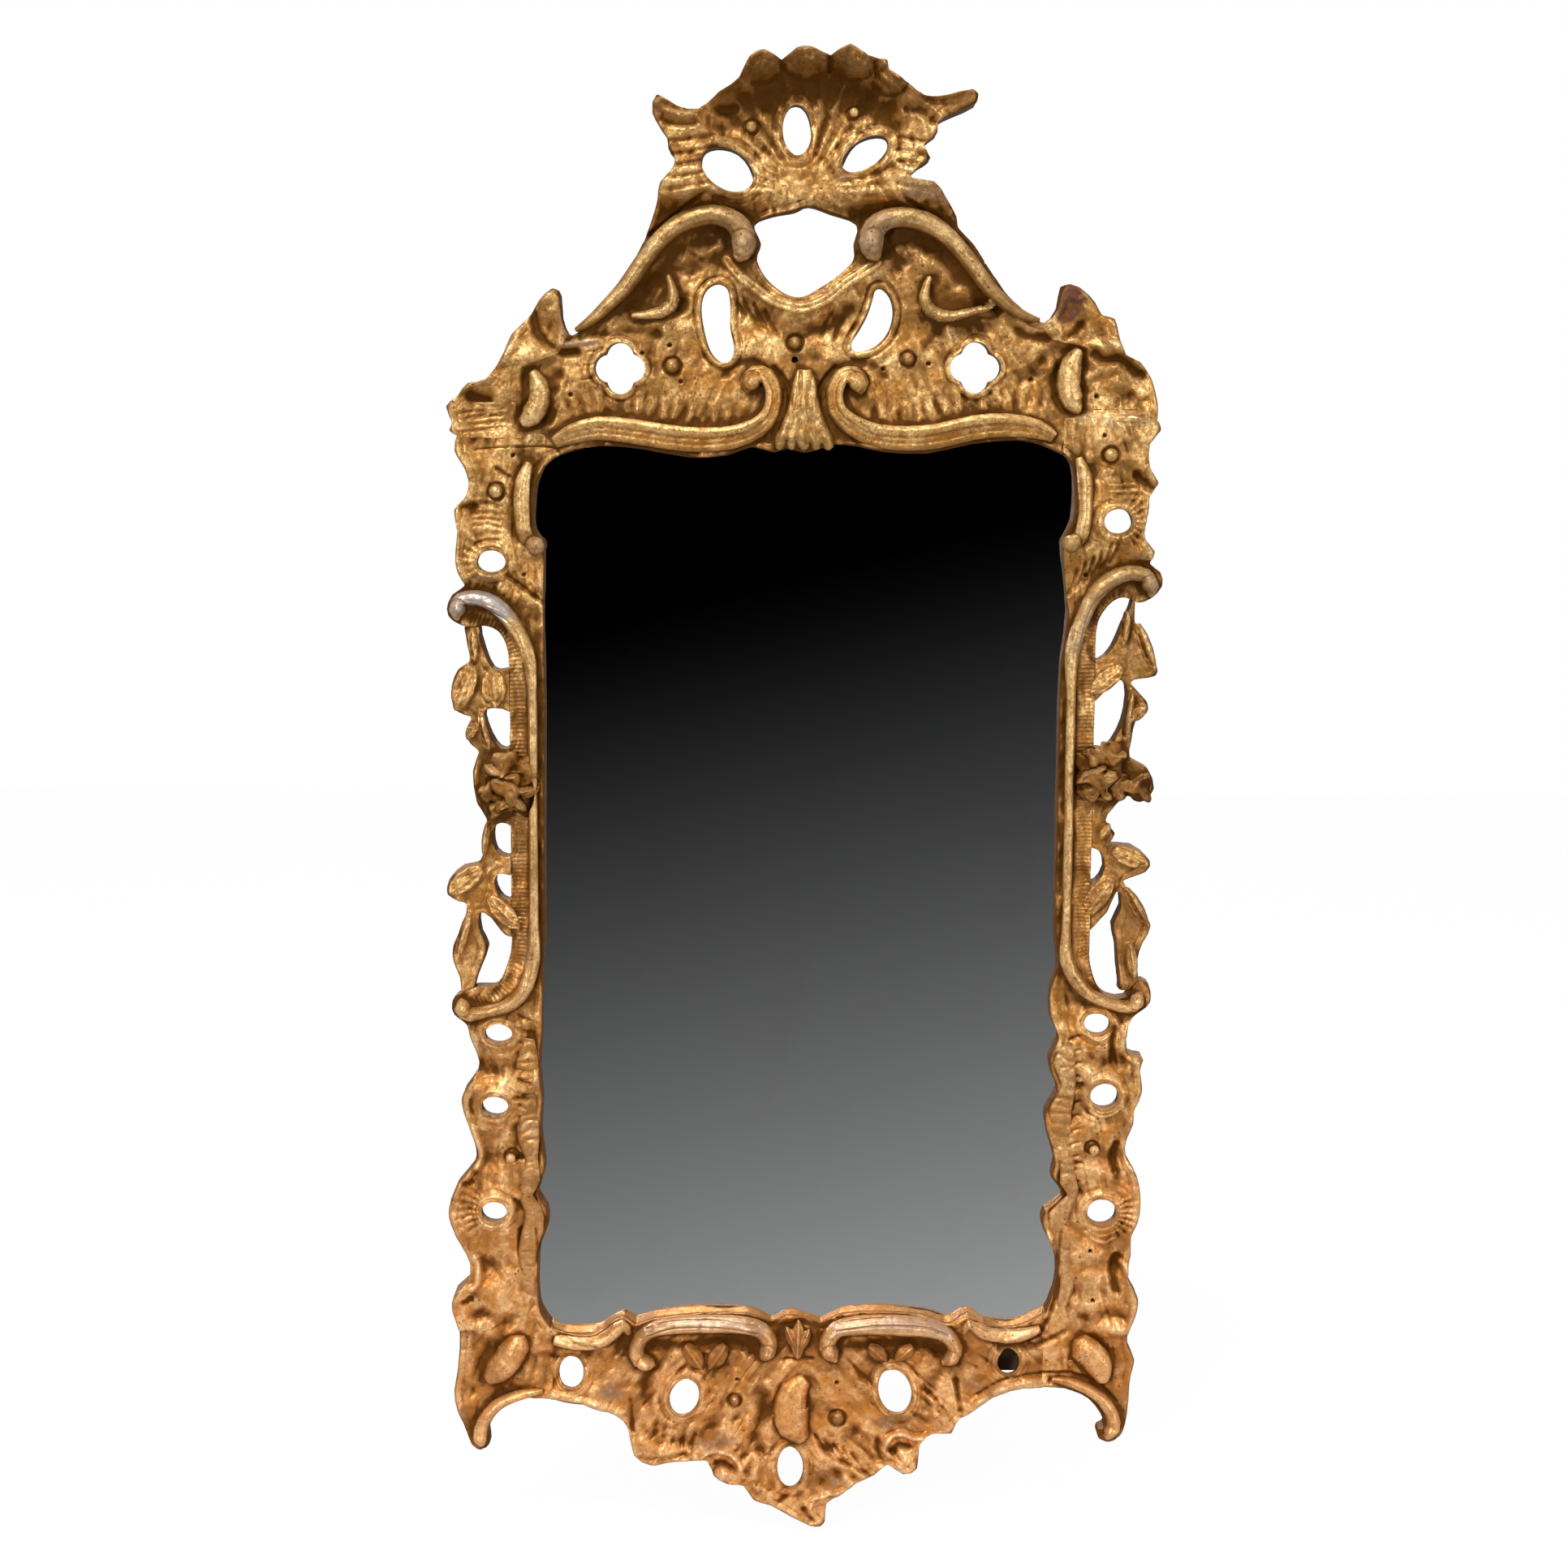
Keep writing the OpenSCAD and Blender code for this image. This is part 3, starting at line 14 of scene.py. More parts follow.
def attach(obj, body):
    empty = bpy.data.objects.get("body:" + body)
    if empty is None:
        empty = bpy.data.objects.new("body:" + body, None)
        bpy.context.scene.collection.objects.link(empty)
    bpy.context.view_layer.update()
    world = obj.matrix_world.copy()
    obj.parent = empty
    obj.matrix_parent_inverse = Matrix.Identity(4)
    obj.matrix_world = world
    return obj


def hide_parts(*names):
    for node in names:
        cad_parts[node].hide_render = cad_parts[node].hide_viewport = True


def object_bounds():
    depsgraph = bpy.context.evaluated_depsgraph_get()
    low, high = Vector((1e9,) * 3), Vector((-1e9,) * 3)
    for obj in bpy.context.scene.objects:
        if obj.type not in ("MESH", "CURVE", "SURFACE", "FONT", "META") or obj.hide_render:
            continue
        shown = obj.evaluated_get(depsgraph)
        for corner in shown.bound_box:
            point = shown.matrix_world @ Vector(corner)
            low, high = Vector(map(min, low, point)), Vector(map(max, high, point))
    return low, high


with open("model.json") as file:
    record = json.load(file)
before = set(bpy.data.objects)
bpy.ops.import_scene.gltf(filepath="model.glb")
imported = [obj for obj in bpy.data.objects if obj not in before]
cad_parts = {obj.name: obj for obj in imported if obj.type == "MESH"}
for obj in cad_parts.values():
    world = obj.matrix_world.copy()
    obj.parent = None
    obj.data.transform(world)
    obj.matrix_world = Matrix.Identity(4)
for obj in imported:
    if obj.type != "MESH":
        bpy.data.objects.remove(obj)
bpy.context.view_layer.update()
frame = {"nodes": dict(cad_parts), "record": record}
nodes = frame["nodes"]

MM = 0.001
GROUND = 24.0  # depth of the flat carved ground
LIP = 14.0  # depth of the rabbet's floor
TIP = 0.35  # width of a stroke at its ends, as a share of its full width
CURVE_STEP = 2.0  # distance between the points of a curve
SCATTER = (374761393, 668265263, 2147483647, 974634777, 1274126177)  # large factors for the fixed noise

# Paths and noise


def curve(rows, closed=False):
    """Points along a smooth curve through given places."""
    p = np.array(rows, float)
    count = len(p)
    out = []
    for i in range(count if closed else count - 1):
        at = [(i + k) % count if closed else min(max(i + k, 0), count - 1) for k in (-1, 0, 1, 2)]
        a, b, c, d = p[at]
        n = max(1, int(math.hypot(*(c - b)) / CURVE_STEP))
        t = (np.arange(n) / n)[:, None]
        bend = (2 * a - 5 * b + 4 * c - d) * t**2 + (3 * b - a - 3 * c + d) * t**3
        out.append(0.5 * (2 * b + (c - a) * t + bend))
    out.append(p[:1] if closed else p[-1:])
    return np.vstack(out)


def lattice(i, j, k, seed):
    """A fixed number between 0 and 1 for each place of a lattice."""
    h = (i * SCATTER[0] + j * SCATTER[1] + k * SCATTER[2] + seed * SCATTER[3]) & 0xFFFFFFFF
    h = ((h ^ (h >> 13)) * SCATTER[4]) & 0xFFFFFFFF
    return ((h ^ (h >> 16)) & 0xFFFFFF) / 0xFFFFFF


def noise(x, y, z, size, seed=0):
    """Smooth noise from -1 to 1 whose blots are about `size` mm wide."""
    p = [np.asarray(a) / size + 1000.5 for a in (x, y, z)]
    cell = [np.floor(a).astype(np.int64) for a in p]
    f = [a - c for a, c in zip(p, cell)]
    f = [a * a * (3 - 2 * a) for a in f]
    total = 0
    for corner in range(8):
        o = [(corner >> b) & 1 for b in range(3)]
        w = 1
        for a, b in zip(f, o):
            w = w * (a if b else 1 - a)
        total = total + w * lattice(cell[0] + o[0], cell[1] + o[1], cell[2] + o[2], seed)
    return total * 2 - 1


def ramp(a, lo, hi):
    """Soft step: 0 below lo and 1 above hi."""
    t = np.clip((a - lo) / (hi - lo), 0, 1)
    return t * t * (3 - 2 * t)


def fade(a, lo, hi):
    """Soft step down: 1 below lo and 0 above hi."""
    return 1 - ramp(a, lo, hi)


def span(a, lo, full, fades, hi):
    """1 from full to fades, 0 below lo and above hi."""
    return ramp(a, lo, full) * fade(a, fades, hi)


def turned(x, z, turn):
    """Coordinates along and across a direction that is turned by degrees from +x."""
    c, s = math.cos(math.radians(turn)), math.sin(math.radians(turn))
    return x * c + z * s, z * c - x * s


def beside(rows, by, closed=False):
    """The smooth path that runs `by` mm to the left of another."""
    p = curve(rows, closed)
    way = np.gradient(p, axis=0)
    way /= np.hypot(*way.T).clip(1e-6)[:, None]
    p[:, 0] -= way[:, 1] * by
    p[:, 1] += way[:, 0] * by
    return p


def around(rows, by):
    """Closed path that runs `by` mm outside another closed path."""
    p = np.array(rows, float)
    x, z = p[:, 0], p[:, 1]
    turn = np.sign(np.sum(x * np.roll(z, -1) - z * np.roll(x, -1)))
    return beside(rows, -turn * by, True)


SHAPES = {
    "ridge": lambda u: np.cos(np.pi * u / 2) ** 2,
    "flat": lambda u: fade(np.abs(u), 0.55, 1),
}


def repeated(mesh, copies):
    """A mesh joined with copies of itself, each moved by (dx, dz), scaled and turned about its middle."""
    co = np.empty(len(mesh.vertices) * 3)
    mesh.vertices.foreach_get("co", co)
    co = co.reshape(-1, 3)
    middle = (co.min(0) + co.max(0)) / 2
    middle[1] = co[:, 1].max()
    faces = [tuple(f.vertices) for f in mesh.polygons]
    points, joined = [co], list(faces)
    for dx, dz, scale, turn in copies:
        x, y, z = ((co - middle) * scale).T
        x, z = turned(x, z, -turn)
        joined += [tuple(i + len(co) * len(points) for i in f) for f in faces]
        points.append(np.stack([x, y, z], 1) + middle + np.array([dx, 0, dz]) * MM)
    out = bpy.data.meshes.new("copies")
    out.from_pydata(np.vstack(points).tolist(), [], joined)
    return out


class Carved:
    """A fine copy of a CAD node that strokes carve and tint; it stands for the node in the render."""

    made = []

    def __init__(self, node, voxel, smooth=4, root=(LIP + 1, GROUND - 2), copies=()):
        mesh = nodes[node].data.copy()
        if copies:
            mesh = repeated(mesh, copies)
        mesh.materials.clear()
        work = bpy.data.objects.new("work", mesh)
        bpy.context.scene.collection.objects.link(work)
        remesh = work.modifiers.new("remesh", "REMESH")
        remesh.mode = "VOXEL"
        remesh.voxel_size = voxel * MM
        graph = bpy.context.evaluated_depsgraph_get()
        self.mesh = bpy.data.meshes.new_from_object(work.evaluated_get(graph))
        bpy.data.objects.remove(work)
        self.node = node
        self.root = root
        n = len(self.mesh.vertices)
        co = np.empty(n * 3)
        self.mesh.vertices.foreach_get("co", co)
        co = co.reshape(-1, 3) / MM
        edges = np.empty(len(self.mesh.edges) * 2, int)
        self.mesh.edges.foreach_get("vertices", edges)
        self.edges = edges.reshape(-1, 2)
        self.degree = np.bincount(edges, minlength=n)[:, None].clip(1)
        self.co = co
        self.relax(smooth, ramp(-co[:, 1], LIP - 2, LIP + 4) * 0.9 + 0.1)
        self.x, self.z = self.co[:, 0].copy(), self.co[:, 2].copy()
        self.d = -self.co[:, 1]
        self.lift = np.zeros(n)
        # The dirt channel holds real dirt together with painted shade in recesses, under parts and along
        # edges
        self.grey, self.bare, self.bole, self.dirt = (np.zeros(n) for _ in range(4))
        Carved.made.append(self)

    def relax(self, rounds, weight):
        """Soften the mesh: each vertex moves towards the mean of its neighbours."""
        a, b = self.edges.T
        n = len(self.co)
        for _ in range(rounds):
            total = [np.bincount(a, line[b], n) + np.bincount(b, line[a], n) for line in self.co.T]
            self.co += (np.stack(total, 1) / self.degree - self.co) * 0.5 * weight[:, None]

    def near(self, path, reach):
        """Vertices within reach of a path, with their signed distance, place along it and nearest point.

        The last value is the path's length.
        """
        along = np.concatenate([[0], np.cumsum(np.hypot(*np.diff(path, axis=0).T))])
        size = len(self.x)
        best = np.full(size, reach)
        side, run = np.zeros(size), np.zeros(size)
        nearest = np.zeros((size, 2))
        for start in range(0, len(path) - 1, 12):
            part = path[start : start + 13]
            lo, hi = part.min(0) - reach, part.max(0) + reach
            at = np.flatnonzero((self.x > lo[0]) & (self.x < hi[0]) & (self.z > lo[1]) & (self.z < hi[1]))
            if not len(at):
                continue
            x, z = self.x[at], self.z[at]
            for i in range(len(part) - 1):
                a = part[i]
                e = part[i + 1] - a
                length = max(float(np.hypot(*e)), 1e-6)
                dx, dz = x - a[0], z - a[1]
                t = np.clip((dx * e[0] + dz * e[1]) / length**2, 0, 1)
                px, pz = dx - t * e[0], dz - t * e[1]
                dist = np.hypot(px, pz)
                m = dist < best[at]
                k = at[m]
                best[k] = dist[m]
                side[k] = np.sign(e[0] * pz[m] - e[1] * px[m])
                run[k] = along[start + i] + t[m] * length
                nearest[k] = a + e * t[m][:, None]
        hit = np.flatnonzero(best < reach)
        return hit, best[hit] * np.where(side[hit] == 0, 1, side[hit]), run[hit], nearest[hit], along[-1]

    def stroke(self, rows, width, height, shape="ridge", closed=False, ends=0.0):
        """Raise a band along a smooth path, or sink it where height is below 0; it tapers over its ends."""
        at, side, run, _, total = self.near(curve(rows, closed), width / 2)
        taper = ramp(np.minimum(run, total - run), 0, ends) if ends else 1
        u = side / (width / 2 * (TIP + (1 - TIP) * taper))
        self.lift[at] += np.where(np.abs(u) < 1, SHAPES[shape](np.clip(u, -1, 1)), 0) * height * taper
        return self

    def sink(self, rows, width, depth, dark):
        """Scoop a hollow along a path and darken it with dirt and painted shade."""
        self.stroke(rows, width, -0.8 * depth, ends=width / 2)
        return self.tint_path("dirt", rows, width, dark)

    def swell(self, rows, width, height):
        return self.stroke(rows, width, height, ends=width / 2)

    def ribs(self, rows, width, pitch, height, slant=0.0, chevron=False, shape="flat", wander=0.6):
        """Small ribs across a band, `pitch` apart along the path, which lean by slant or fold at the path."""
        at, side, run, _, _ = self.near(curve(rows), width / 2)
        sway = wander * noise(self.x[at], 0 * at, self.z[at], 9, 5)
        wave = np.cos(2 * np.pi * (run + slant * (np.abs(side) if chevron else side)) / pitch + sway)
        self.lift[at] += wave * height / 2 * SHAPES[shape](np.clip(side / (width / 2), -1, 1))
        return self

    def spot(self, x, z, a, b=None, tilt=0.0):
        """How far each vertex lies from the middle of an oval, as a share of its radius."""
        along, across = turned(self.x - x, self.z - z, tilt)
        return np.hypot(along / a, across / (b or a))

    def dome(self, x, z, a, b, height, power=1.0):
        """Round swelling over an oval, or a pit where height is below 0."""
        r = self.spot(x, z, a, b)
        self.lift += height * np.clip(1 - r * r, 0, 1) ** power
        return self

    def outside(self, x, z, a, b, tilt=0.0):
        """Distance outside the edge of an oval."""
        return (self.spot(x, z, a, b, tilt) - 1) * (a + b) / 2

    def rim(self, x, z, a, b, width, height, tilt=0.0):
        """Raised (or sunk) ring just outside an oval."""
        r = self.outside(x, z, a, b, tilt) - width / 2
        self.lift += height * np.where(np.abs(r) < width / 2, np.cos(np.pi * r / width) ** 2, 0)
        return self

    def fan(self, x, z, inner, outer, turn, spread, count, height):
        """Flutes that spread from a point: turn is the middle direction in degrees from +x."""
        dx, dz = self.x - x, self.z - z
        r = np.hypot(dx, dz)
        angle = (np.degrees(np.arctan2(dz, dx)) - turn + 180) % 360 - 180
        inside = span(r, inner, inner + 6, outer - 8, outer)
        inside = inside * fade(np.abs(angle), spread / 2 - 3, spread / 2 + 3)
        wave = np.cos(2 * np.pi * angle * count / spread + noise(self.x, 0 * self.x, self.z, 20, 3) * 0.5)
        self.lift += inside * height / 2 * wave * ramp(r, 0, outer * 0.5)
        return self

    def drawn_out(self, turn, length, width, seed, sway=0.0):
        """Noise that is drawn out along one direction."""
        along, across = turned(self.x, self.z, turn)
        return noise(along * width / length, across + sway, 0 * self.d, width, seed)

    def gouge(self, turn, length, width, height, seed, inside=1.0):
        """Tool marks that run one way: turn is their direction in degrees from +x."""
        self.lift += self.drawn_out(turn, length, width, seed) * height * inside
        return self

    def streak(self, turn, length, width, share, seed, inside=1.0):
        """Shallow brown streaks that sway round one direction."""
        sway = 7 * noise(self.x, 0 * self.d, self.z, 42, seed + 1)
        dark = ramp(self.drawn_out(turn, length, width, seed, sway), 0.0, 0.6) * inside
        self.lift -= 1.3 * dark * share
        return self.add_dirt_and_shade(dark * share)

    def bevel(self, x, z, a, b, tilt=0.0):
        """Cut an opening's lower and outer walls back from behind, so that they don't show from above."""
        slope, outward = 0.42, math.copysign(1, x)
        depth = fade(self.outside(x, z, a, b, tilt), 1, 20) * np.clip(GROUND - 3 - self.d, 0, None)
        outer = ramp((self.x - x) * outward, -0.4 * a, a)
        self.z -= slope * depth * ramp(z - self.z, -b, 0.4 * b)
        self.x += slope / 3 * outward * depth * outer
        return self

    def soften(self, grid, share):
        """Draw the front towards a blurred map of its depth, which melts sharp steps into slopes."""
        self.d += (sample(grid, self) - self.d) * share * ramp(self.d, GROUND - 3, GROUND - 1)
        return self

    def noise(self, size, seed):
        return noise(self.x, self.d, self.z, size, seed)

    def rough(self, size, height, seed, inside=1.0):
        self.lift += self.noise(size, seed) * height * inside
        return self

    def add_dirt_and_shade(self, amount):
        """Leave at least this much dirt and painted shade."""
        self.dirt = np.maximum(self.dirt, amount)
        return self

    def grow(self, share, inside=1.0):
        """Raise what stands above the ground by a share of its height, or flatten it."""
        self.d += share * np.clip(self.d - GROUND, 0, None) * inside
        return self

    def tint(self, channel, x, z, a, b=None, amount=1.0):
        """Add wear of one kind (grey, bare, bole, or dirt with painted shade) in an uneven oval patch."""
        r = self.spot(x, z, a, b) + 0.25 * self.noise(5, 9)
        value = getattr(self, channel)
        np.maximum(value, amount * fade(r, 0.55, 1.15), out=value)
        return self

    def tint_path(self, channel, rows, width, amount):
        """Add one kind of wear, or dirt with painted shade, along a path."""
        at, side, *_ = self.near(curve(rows), width / 2)
        value = getattr(self, channel)
        uneven = 0.8 + 0.35 * noise(self.x[at], self.d[at], self.z[at], 6, 8)
        soft = fade(np.abs(side), 0, width / 2) * uneven
        value[at] = np.maximum(value[at], amount * soft)
        return self

    def commit(self):
        """Apply the strokes: they fade out on the walls, down to the piece's root."""
        self.d = self.d + self.lift * ramp(self.d, *self.root)
        self.lift[:] = 0
        return self


def blur(a, sigma):
    """Gaussian blur of a grid."""
    n = int(sigma * 3)
    k = np.exp(-0.5 * (np.arange(-n, n + 1) / sigma) ** 2)
    k /= k.sum()
    for axis in (0, 1):
        a = np.apply_along_axis(lambda line: np.convolve(line, k, "same"), axis, a)
    return a


MAP_LEFT, MAP_LOW, MAP_WIDE, MAP_HIGH = 290, 530, 580, 1160  # a map of the front has cells of 1 mm


def front_map(pieces):
    """Greatest depth in each cell of the front, 0 where there is nothing."""
    front = np.zeros((MAP_WIDE, MAP_HIGH))
    for c in pieces:
        cell = (c.x + MAP_LEFT).round().astype(int), (c.z + MAP_LOW).round().astype(int)
        np.maximum.at(front, cell, c.d)
    return front


def sample(grid, c):
    """Value of a map at each vertex, blended between its cells."""
    x, z = c.x + MAP_LEFT, c.z + MAP_LOW
    i, j = np.floor(x).astype(int), np.floor(z).astype(int)
    u, v = x - i, z - j
    low = grid[i, j] * (1 - u) + grid[i + 1, j] * u
    high = grid[i, j + 1] * (1 - u) + grid[i + 1, j + 1] * u
    return low * (1 - v) + high * v


def cover(pieces):
    """1 in the cells of the front that the pieces cover."""
    return (blur((front_map(pieces) > GROUND - 4).astype(float), 1.0) > 0.3).astype(float)


def carve_edges(pieces):
    """Roll the edges of the boards and run a groove inside them, broken here and there."""
    inside = blur(cover(pieces), 4.0)
    for c in pieces:
        near = sample(inside, c)
        torn = c.noise(11, 21)
        fine = c.noise(4, 22)
        c.lift += (0.6 + 1.3 * torn) * np.exp(-(((near - 0.77) / 0.07) ** 2))
        c.lift -= (0.5 + 1.1 * torn) * np.exp(-(((near - 0.955) / 0.018) ** 2))
        c.lift -= (2.6 + 1.2 * fine) * fade(near, 0.52, 0.66)
        # Painted shade and dark worn gesso along the outermost edges, where they roll away
        c.add_dirt_and_shade((0.8 + 0.3 * torn) * fade(near, 0.60, 0.85))


# Widths in mm over which depths are averaged, with the share of each in the hollows (painted shade and dirt)
# and in the crests (painted highlight and rub)
SCALES = ((2.2, 0.28, 0.42), (6.0, 0.16, 0.15), (14.0, 0.06, 0.02))


def shade_map():
    """Hollows and crests of the front: how its depth differs from the mean depth round each place; hollows
    get painted shade and dirt, crests get painted highlight and rub.
    """
    front = front_map(Carved.made)
    known = (front > 0).astype(float)
    means = [blur(front, width) / blur(known, width).clip(0.02) for width, _, _ in SCALES]
    for c in Carved.made:
        sunk = [sample(mean, c) - c.d for mean in means]
        c.hollow = np.clip(sum(low * s for s, (_, low, _) in zip(sunk, SCALES)), 0, 1)
        c.crest = np.clip(-sum(high * s for s, (_, _, high) in zip(sunk, SCALES)), 0, 1)
        if c in boards or c in leaves:
            # The ribbed coves beside the C-scrolls get less of the painted shade and dirt
            cove = span(np.abs(c.x), 202, 206, 215, 220) * span(c.z, -95, -75, 185, 205)
            c.hollow *= 1 - 0.6 * cove
        if c.node in applied:
            # Painted shade round the feet of applied pieces, where they meet the ground; their painted
            # highlights are weaker
            rise = (c.d - GROUND) / max(np.percentile(c.d, 97) - GROUND, 1)
            rise = rise - 0.15 * c.noise(7, 23)
            c.crest *= 0.45
            c.hollow = np.maximum(c.hollow, 0.75 * fade(rise, 0.1, 0.75))


def finish_piece(c):
    """Turn a carved copy into a piece of the scene."""
    slot = SLOT_OF[c.node]
    c.co[:, 0], c.co[:, 1], c.co[:, 2] = c.x, -c.d, c.z
    mesh = c.mesh
    mesh.vertices.foreach_set("co", (c.co * MM).ravel())
    mesh.update()
    normal = np.empty(len(c.x) * 3)
    mesh.vertices.foreach_get("normal", normal)
    facing, upward = normal.reshape(-1, 3)[:, 1], normal.reshape(-1, 3)[:, 2]
    behind = ramp(facing, 0.3, 0.8)
    # Painted shade on walls that turn away from the front; faces that look up get less painted shade and
    # dirt, as if lit from above
    wall_shade = ramp(facing, -0.55, -0.15) * fade(c.d, GROUND - 6, GROUND)
    clean = 1 - 0.75 * ramp(upward, 0.45, 0.85)
    # Channels of Relief: painted shade with dirt, painted highlight with rub, and raw wood
    hollow = np.clip(0.85 * c.hollow + 0.5 * c.dirt + 0.7 * wall_shade, 0, 1) * clean
    raw = np.maximum(behind, fade(c.d, 8, 9.5))
    for name, channels in (("Relief", (hollow, c.crest, raw)), ("Wear", (c.grey, c.bare, c.bole))):
        layer = mesh.attributes.new(name, "FLOAT_COLOR", "POINT")
        value = np.ones((len(c.x), 4))
        for k, channel in enumerate(channels):
            value[:, k] = channel
        layer.data.foreach_set("color", value.ravel())
    mesh.materials.clear()
    mesh.materials.append(MATERIALS[slot])
    mesh.polygons.foreach_set("use_smooth", [True] * len(mesh.polygons))
    piece = bpy.data.objects.new(c.node + "_carved", mesh)
    bpy.context.scene.collection.objects.link(piece)
    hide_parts(c.node)
    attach(piece, "mirror")


# Materials


class Tree:
    """Short way to build the nodes of a material or the world."""

    def __init__(self, owner):
        self.owner = owner
        owner.use_nodes = True
        self.nodes = owner.node_tree.nodes
        self.links = owner.node_tree.links

    def new(self, kind, **values):
        node = self.nodes.new(kind)
        for key, value in values.items():
            setattr(node, key, value)
        return node

    def put(self, socket, value):
        if isinstance(value, bpy.types.NodeSocket):
            self.links.new(value, socket)
        elif isinstance(value, tuple) and len(value) == 3 and socket.type == "RGBA":
            socket.default_value = (*value, 1)
        else:
            socket.default_value = value

    def noise(self, scale, detail, rough, stretch=None, warp=0.0):
        place = self.place
        if stretch:
            shift = self.new("ShaderNodeMapping")
            self.put(shift.inputs["Vector"], place)
            shift.inputs["Scale"].default_value = stretch
            place = shift.outputs[0]
        node = self.new("ShaderNodeTexNoise")
        self.put(node.inputs["Vector"], place)
        for key, value in (("Scale", scale), ("Detail", detail), ("Roughness", rough), ("Distortion", warp)):
            node.inputs[key].default_value = value
        return node.outputs["Fac"]

    def cells(self, scale, feature="F1"):
        node = self.new("ShaderNodeTexVoronoi", feature=feature)
        self.put(node.inputs["Vector"], self.place)
        node.inputs["Scale"].default_value = scale
        return node.outputs["Distance"]

    def range(self, value, lo, hi, to_lo=0.0, to_hi=1.0):
        node = self.new("ShaderNodeMapRange", interpolation_type="SMOOTHSTEP")
        self.put(node.inputs["Value"], value)
        for key, number in (("From Min", lo), ("From Max", hi), ("To Min", to_lo), ("To Max", to_hi)):
            node.inputs[key].default_value = number
        return node.outputs["Result"]

    def math(self, kind, a, b, clamp=False):
        node = self.new("ShaderNodeMath", operation=kind, use_clamp=clamp)
        self.put(node.inputs[0], a)
        self.put(node.inputs[1], b)
        return node.outputs[0]

    def times(self, a, b):
        return self.math("MULTIPLY", a, b)

    def plus(self, a, b):
        return self.math("ADD", a, b)

    def minus(self, a, b):
        return self.math("SUBTRACT", a, b)

    def most(self, a, b):
        return self.math("MAXIMUM", a, b)

    def mix(self, factor, a, b):
        node = self.new("ShaderNodeMix", data_type="RGBA")
        for socket, value in zip((node.inputs[0], node.inputs[6], node.inputs[7]), (factor, a, b)):
            self.put(socket, value)
        return node.outputs[2]

    def layer(self, name):
        node = self.new("ShaderNodeAttribute", attribute_name=name)
        split = self.new("ShaderNodeSeparateColor")
        self.put(split.inputs[0], node.outputs["Color"])
        return split.outputs

    def bump(self, height, strength, distance, under=None):
        node = self.new("ShaderNodeBump")
        node.inputs["Strength"].default_value = strength
        node.inputs["Distance"].default_value = distance
        self.put(node.inputs["Height"], height)
        if under is not None:
            self.put(node.inputs["Normal"], under)
        return node.outputs[0]

    def blend(self, factor, a, b):
        """Mix two shaders."""
        node = self.new("ShaderNodeMixShader")
        for socket, value in zip(node.inputs, (factor, a, b)):
            self.put(socket, value)
        return node.outputs[0]

    def done(self, **values):
        """Set the shader's sockets and give back the material."""
        for key, value in values.items():
            self.put(self.shader.inputs[key.replace("_", " ")], value)
        return self.owner


def material_tree(name):
    """Tree of a new material, with its shader and the place of a point on the object."""
    t = Tree(bpy.data.materials.new(name))
    t.shader = t.nodes["Principled BSDF"]
    t.place = t.new("ShaderNodeTexCoord").outputs["Object"]
    return t


def scaled(colour, *factors):
    """A colour times one factor, or times a factor for each channel."""
    return tuple(c * f for c, f in zip(colour, factors * 3))


def halfway(a, b):
    return tuple(0.5 * (x + y) for x, y in zip(a, b))


def gold_leaf(t, down, high, low, crest, blots, fine):
    """Leaf with redder stretches, ridges made lighter by rub and painted highlight, and brown glaze; down
    runs from top to foot.
    """
    (light, mid, _), (low_light, low_mid, _) = high, low
    tone_mid = t.mix(down, mid, low_mid)
    tone_light = t.mix(down, light, low_light)
    leaf = t.mix(t.range(blots, 0.35, 0.68), tone_mid, tone_light)
    leaf = t.mix(t.range(fine, 0.42, 0.72, 0.0, 0.45), leaf, tone_mid)
    redder = t.range(t.noise(13, 4, 0.55, warp=0.5), 0.45, 0.68, 0.0, 0.45)
    leaf = t.mix(redder, leaf, t.mix(down, mid, scaled(low_mid, 0.85, 0.72, 0.8)))
    # Ridges take the light tone: rubbed leaf together with painted highlight
    rubbed = t.range(t.plus(crest, t.times(fine, 0.25)), 0.15, 0.7, 0.0, 0.7)
    leaf = t.mix(rubbed, leaf, tone_light)
    # Painted highlight on the highest crests
    painted_highlight = t.mix(down, (0.98, 0.72, 0.36), (1.0, 0.70, 0.39))
    leaf = t.mix(t.range(crest, 0.6, 1.1, 0.0, 0.5), leaf, painted_highlight)
    # Glaze is left in the pores, in blots and in small flecks
    pores = t.range(t.noise(170, 5, 0.72, warp=0.8), 0.47, 0.62)
    glaze = t.times(pores, t.range(t.noise(30, 4, 0.6), 0.30, 0.62, 0.35, 1.0))
    flecks = t.range(t.noise(480, 4, 0.75), 0.47, 0.63)
    stain = t.most(t.times(glaze, 0.85), t.times(flecks, 0.65))
    ochre = t.mix(down, scaled(mid, 0.46, 0.36, 0.25), scaled(low_mid, 0.58, 0.46, 0.34))
    return t.mix(t.times(stain, t.range(down, 0.0, 1.0, 1.0, 0.62)), leaf, ochre)


def worn_leaf(t, leaf, down, high, low, fine, grey, bare, bole):
    """Leaf rubbed down to red bole, grey ground or bare wood, with browner patches."""
    rubbed = t.times(t.range(t.noise(38, 6, 0.7), 0.60, 0.72), t.range(fine, 0.35, 0.6))
    leaf = t.mix(t.times(rubbed, 0.5), leaf, (0.30, 0.105, 0.045))
    for wear, least, colour in ((grey, 0.7, (0.43, 0.39, 0.36)), (bare, 0.6, (0.235, 0.135, 0.085))):
        leaf = t.mix(t.times(wear, t.range(fine, 0.25, 0.6, least, 1.0)), leaf, colour)
    leaf = t.mix(bole, leaf, (0.13, 0.055, 0.035))
    patches = t.range(t.noise(24, 4, 0.62, warp=0.6), 0.46, 0.66, 0.0, 0.65)
    return t.mix(patches, leaf, t.mix(down, scaled(high[1], 0.58), scaled(low[1], 0.55)))


